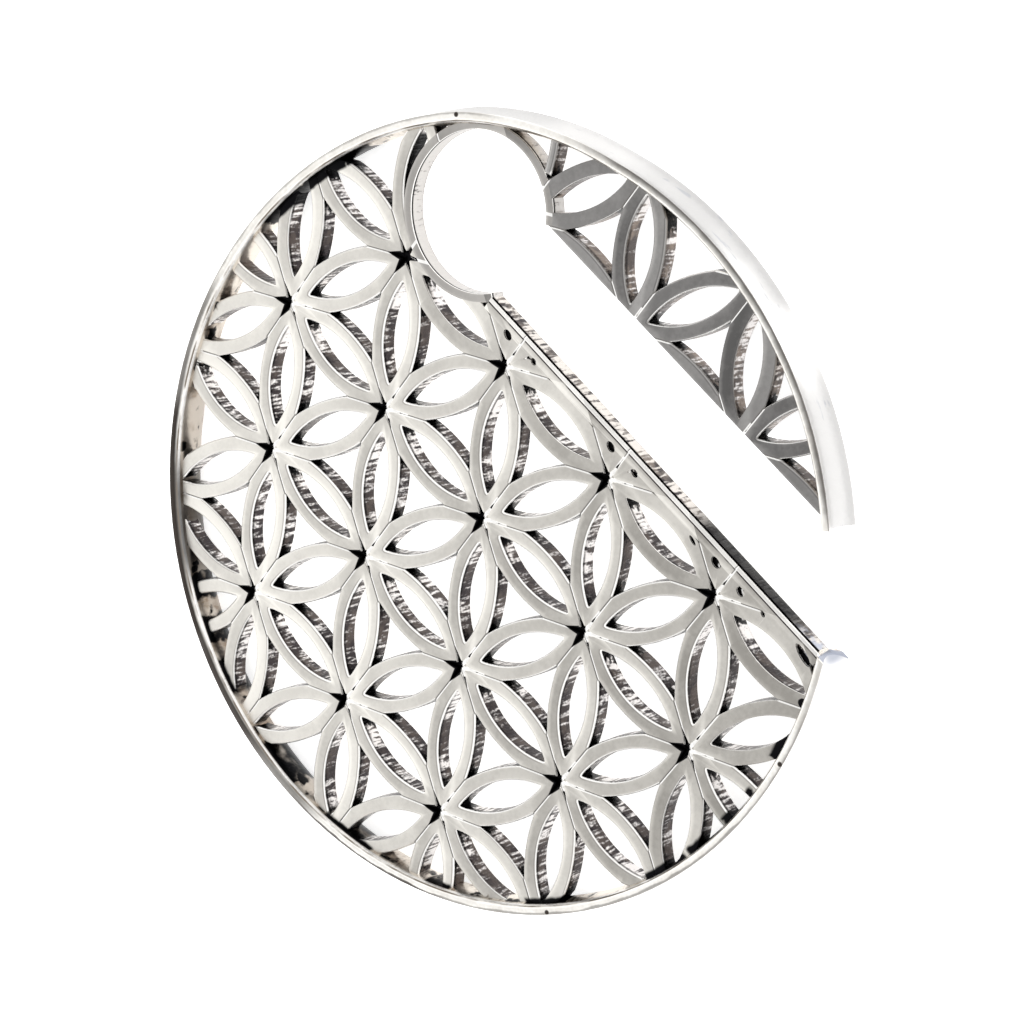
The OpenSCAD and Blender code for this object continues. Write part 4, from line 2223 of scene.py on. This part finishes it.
@dataclass(frozen=True)
class Studio:
    """The pale floor, the soft light from all round and the camera."""

    aim: Corner = (2.477 * MM, -1.453 * MM, 2.6 * MM)
    distance: float = 207.44 * MM
    azimuth: float = -32.804
    elevation: float = 54.316
    roll: float = 104.159
    lens: float = 105.47
    clip: Span = (0.01, 20.0)
    world_light: float = 1.3
    sky: tuple[Span, ...] = (
        (0.0, 1.0), (0.7, 1.0), (0.8, 0.78), (0.88, 0.64), (0.96, 0.7), (1.0, 0.9)
    )
    floor_size: float = 4.0
    floor_grey: float = 0.95
    floor_glow: float = 0.7

    def build(self) -> None:
        """Makes the floor, the light and the camera."""
        self._floor()
        self._world()
        self._camera()

    def _floor(self) -> None:
        """Makes a plain pale floor that the weight lies on."""
        bm = bmesh.new()
        bmesh.ops.create_grid(bm, x_segments=1, y_segments=1, size=self.floor_size / 2)
        mesh = bpy.data.meshes.new("floor")
        bm.to_mesh(mesh)
        bm.free()
        paint = bpy.data.materials.new("floor_paint")
        paint.use_nodes = True
        settings = {
            "Base Color": (self.floor_grey, self.floor_grey, self.floor_grey, 1.0),
            "Roughness": 1.0,
            "Specular IOR Level": 0.0,
            "Emission Color": (1.0, 1.0, 1.0, 1.0),
            "Emission Strength": self.floor_glow,
        }
        for name, value in settings.items():
            paint.node_tree.nodes["Principled BSDF"].inputs[name].default_value = value
        mesh.materials.append(paint)
        floor = bpy.data.objects.new("floor", mesh)
        bpy.context.scene.collection.objects.link(floor)

    def _world(self) -> None:
        """Lights the scene from all round, a little less from overhead."""
        world = bpy.data.worlds.new("studio")
        bpy.context.scene.world = world
        world.use_nodes = True
        desk = NodeDesk(world.node_tree)
        height = desk.parts(desk.node("ShaderNodeTexCoord").outputs["Generated"])["Z"]
        shade = desk.node("ShaderNodeValToRGB", Fac=height)
        stops = shade.color_ramp.elements
        while len(stops) < len(self.sky):
            stops.new(0.5)
        for stop, (up, level) in zip(stops, self.sky):
            stop.position = up
            stop.color = (level, level, level, 1.0)
        back = world.node_tree.nodes["Background"]
        desk.feed(back.inputs["Color"], shade.outputs["Color"])
        back.inputs["Strength"].default_value = self.world_light

    def _camera(self) -> None:
        """Sets the camera at the photograph's angle, turned as it was held."""
        data = bpy.data.cameras.new("photo_camera")
        data.lens = self.lens
        data.clip_start, data.clip_end = self.clip
        camera = bpy.data.objects.new("photo_camera", data)
        rise = math.radians(self.elevation)
        back = toward(self.azimuth) * math.cos(rise) + UP * math.sin(rise)
        level = UP.cross(back).normalized()
        steep = back.cross(level)
        turn = math.radians(self.roll)
        right = math.cos(turn) * level - math.sin(turn) * steep
        up = math.sin(turn) * level + math.cos(turn) * steep
        camera.matrix_world = Matrix((right, up, back)).transposed().to_4x4()
        camera.location = Vector(self.aim) + self.distance * back
        bpy.context.scene.collection.objects.link(camera)
        bpy.context.scene.camera = camera
        bpy.context.scene.view_settings.view_transform = "Standard"


def plan_from_frame() -> tuple[DiscPlan, Vector]:
    """Reads the hole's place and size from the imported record.

    Returns:
        The disc's plan, and the place of its main arc's centre in the part.
    """
    hole = next(m for m in frame["record"]["mounts"] if m["name"] == "lobe_hole")
    shift = Vector((DiscPlan.arm_in / 2, 0.0, 0.0))
    x, y, _ = hole["pos_m"]
    return DiscPlan(x - shift.x, y, hole["dims"]["r_mm"] * MM), shift


def finishes(plan: DiscPlan, shift: Vector) -> dict[str, MetalFinish]:
    """Chooses the finish of each piece.

    Args:
        plan: The disc's plan.
        shift: Place of the disc's centre in the part.

    Returns:
        The finishes by their pieces' names.
    """
    # The arm's copy is painted for its side of the light: darker faces, shoulders and near edges,
    # and lighter walls.
    arm = LatticeFinish(
        "arm_silver",
        shift.x - plan.arm_lattice_in,
        face=(0.46, 0.448, 0.436),
        face_dark=(0.115, 0.112, 0.11),
        near_edge=(0.36, 0.35, 0.34),
        shoulder=(0.12, 0.115, 0.115),
        brown=(0.25, 0.205, 0.175),
        soot=(0.11, 0.095, 0.09),
        wall_level=0.22,
        edge_depth=0.3 * MM,
    )
    collar = LatticeFinish(
        "collar_silver",
        shift.x,
        face=(0.52, 0.5, 0.475),
        face_dark=(0.22, 0.21, 0.2),
        bare_glint=(0.56, 0.54, 0.52),
        under_gain=1.0,
        under_broken_up=(0.15, 0.4),
        wall_level=1.0,
        black_gain=0.0,
        edge_depth=0.2 * MM,
    )
    edging = EdgingFinish(
        "edging_silver",
        shift.x,
        wall_level=0.66,
        lit_gain=0.0,
        black_gain=0.0,
        bare_glint=(0.66, 0.62, 0.58),
        brown=(0.2, 0.17, 0.15),
    )
    return {
        Field.MAIN.value: LatticeFinish("antique_silver", shift.x),
        Field.ARM.value: arm,
        "rim": RimFinish("rim_silver", shift.x),
        "collar": collar,
        "edging": edging,
    }


def write_sizes() -> None:
    """Updates the view layer."""
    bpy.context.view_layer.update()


def main() -> None:
    """Builds the ear weight piece by piece, and then the studio."""
    logging.basicConfig(level=logging.INFO, format="%(message)s")
    plan, shift = plan_from_frame()
    path = BentPath(plan)
    metal = {name: finish.material() for name, finish in finishes(plan, shift).items()}
    pieces = [PetalLattice(plan, path, side).build(shift, metal[side.value]) for side in Field]
    pieces.append(RimBand(plan, path).build(shift, metal["rim"]))
    pieces.append(HoleCollar(plan).build(shift, metal["collar"]))
    pieces.append(SlotEdging(plan).build(shift, metal["edging"]))
    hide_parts(NODE)
    Studio().build()
    write_sizes()


if __name__ == "__main__":
    main()
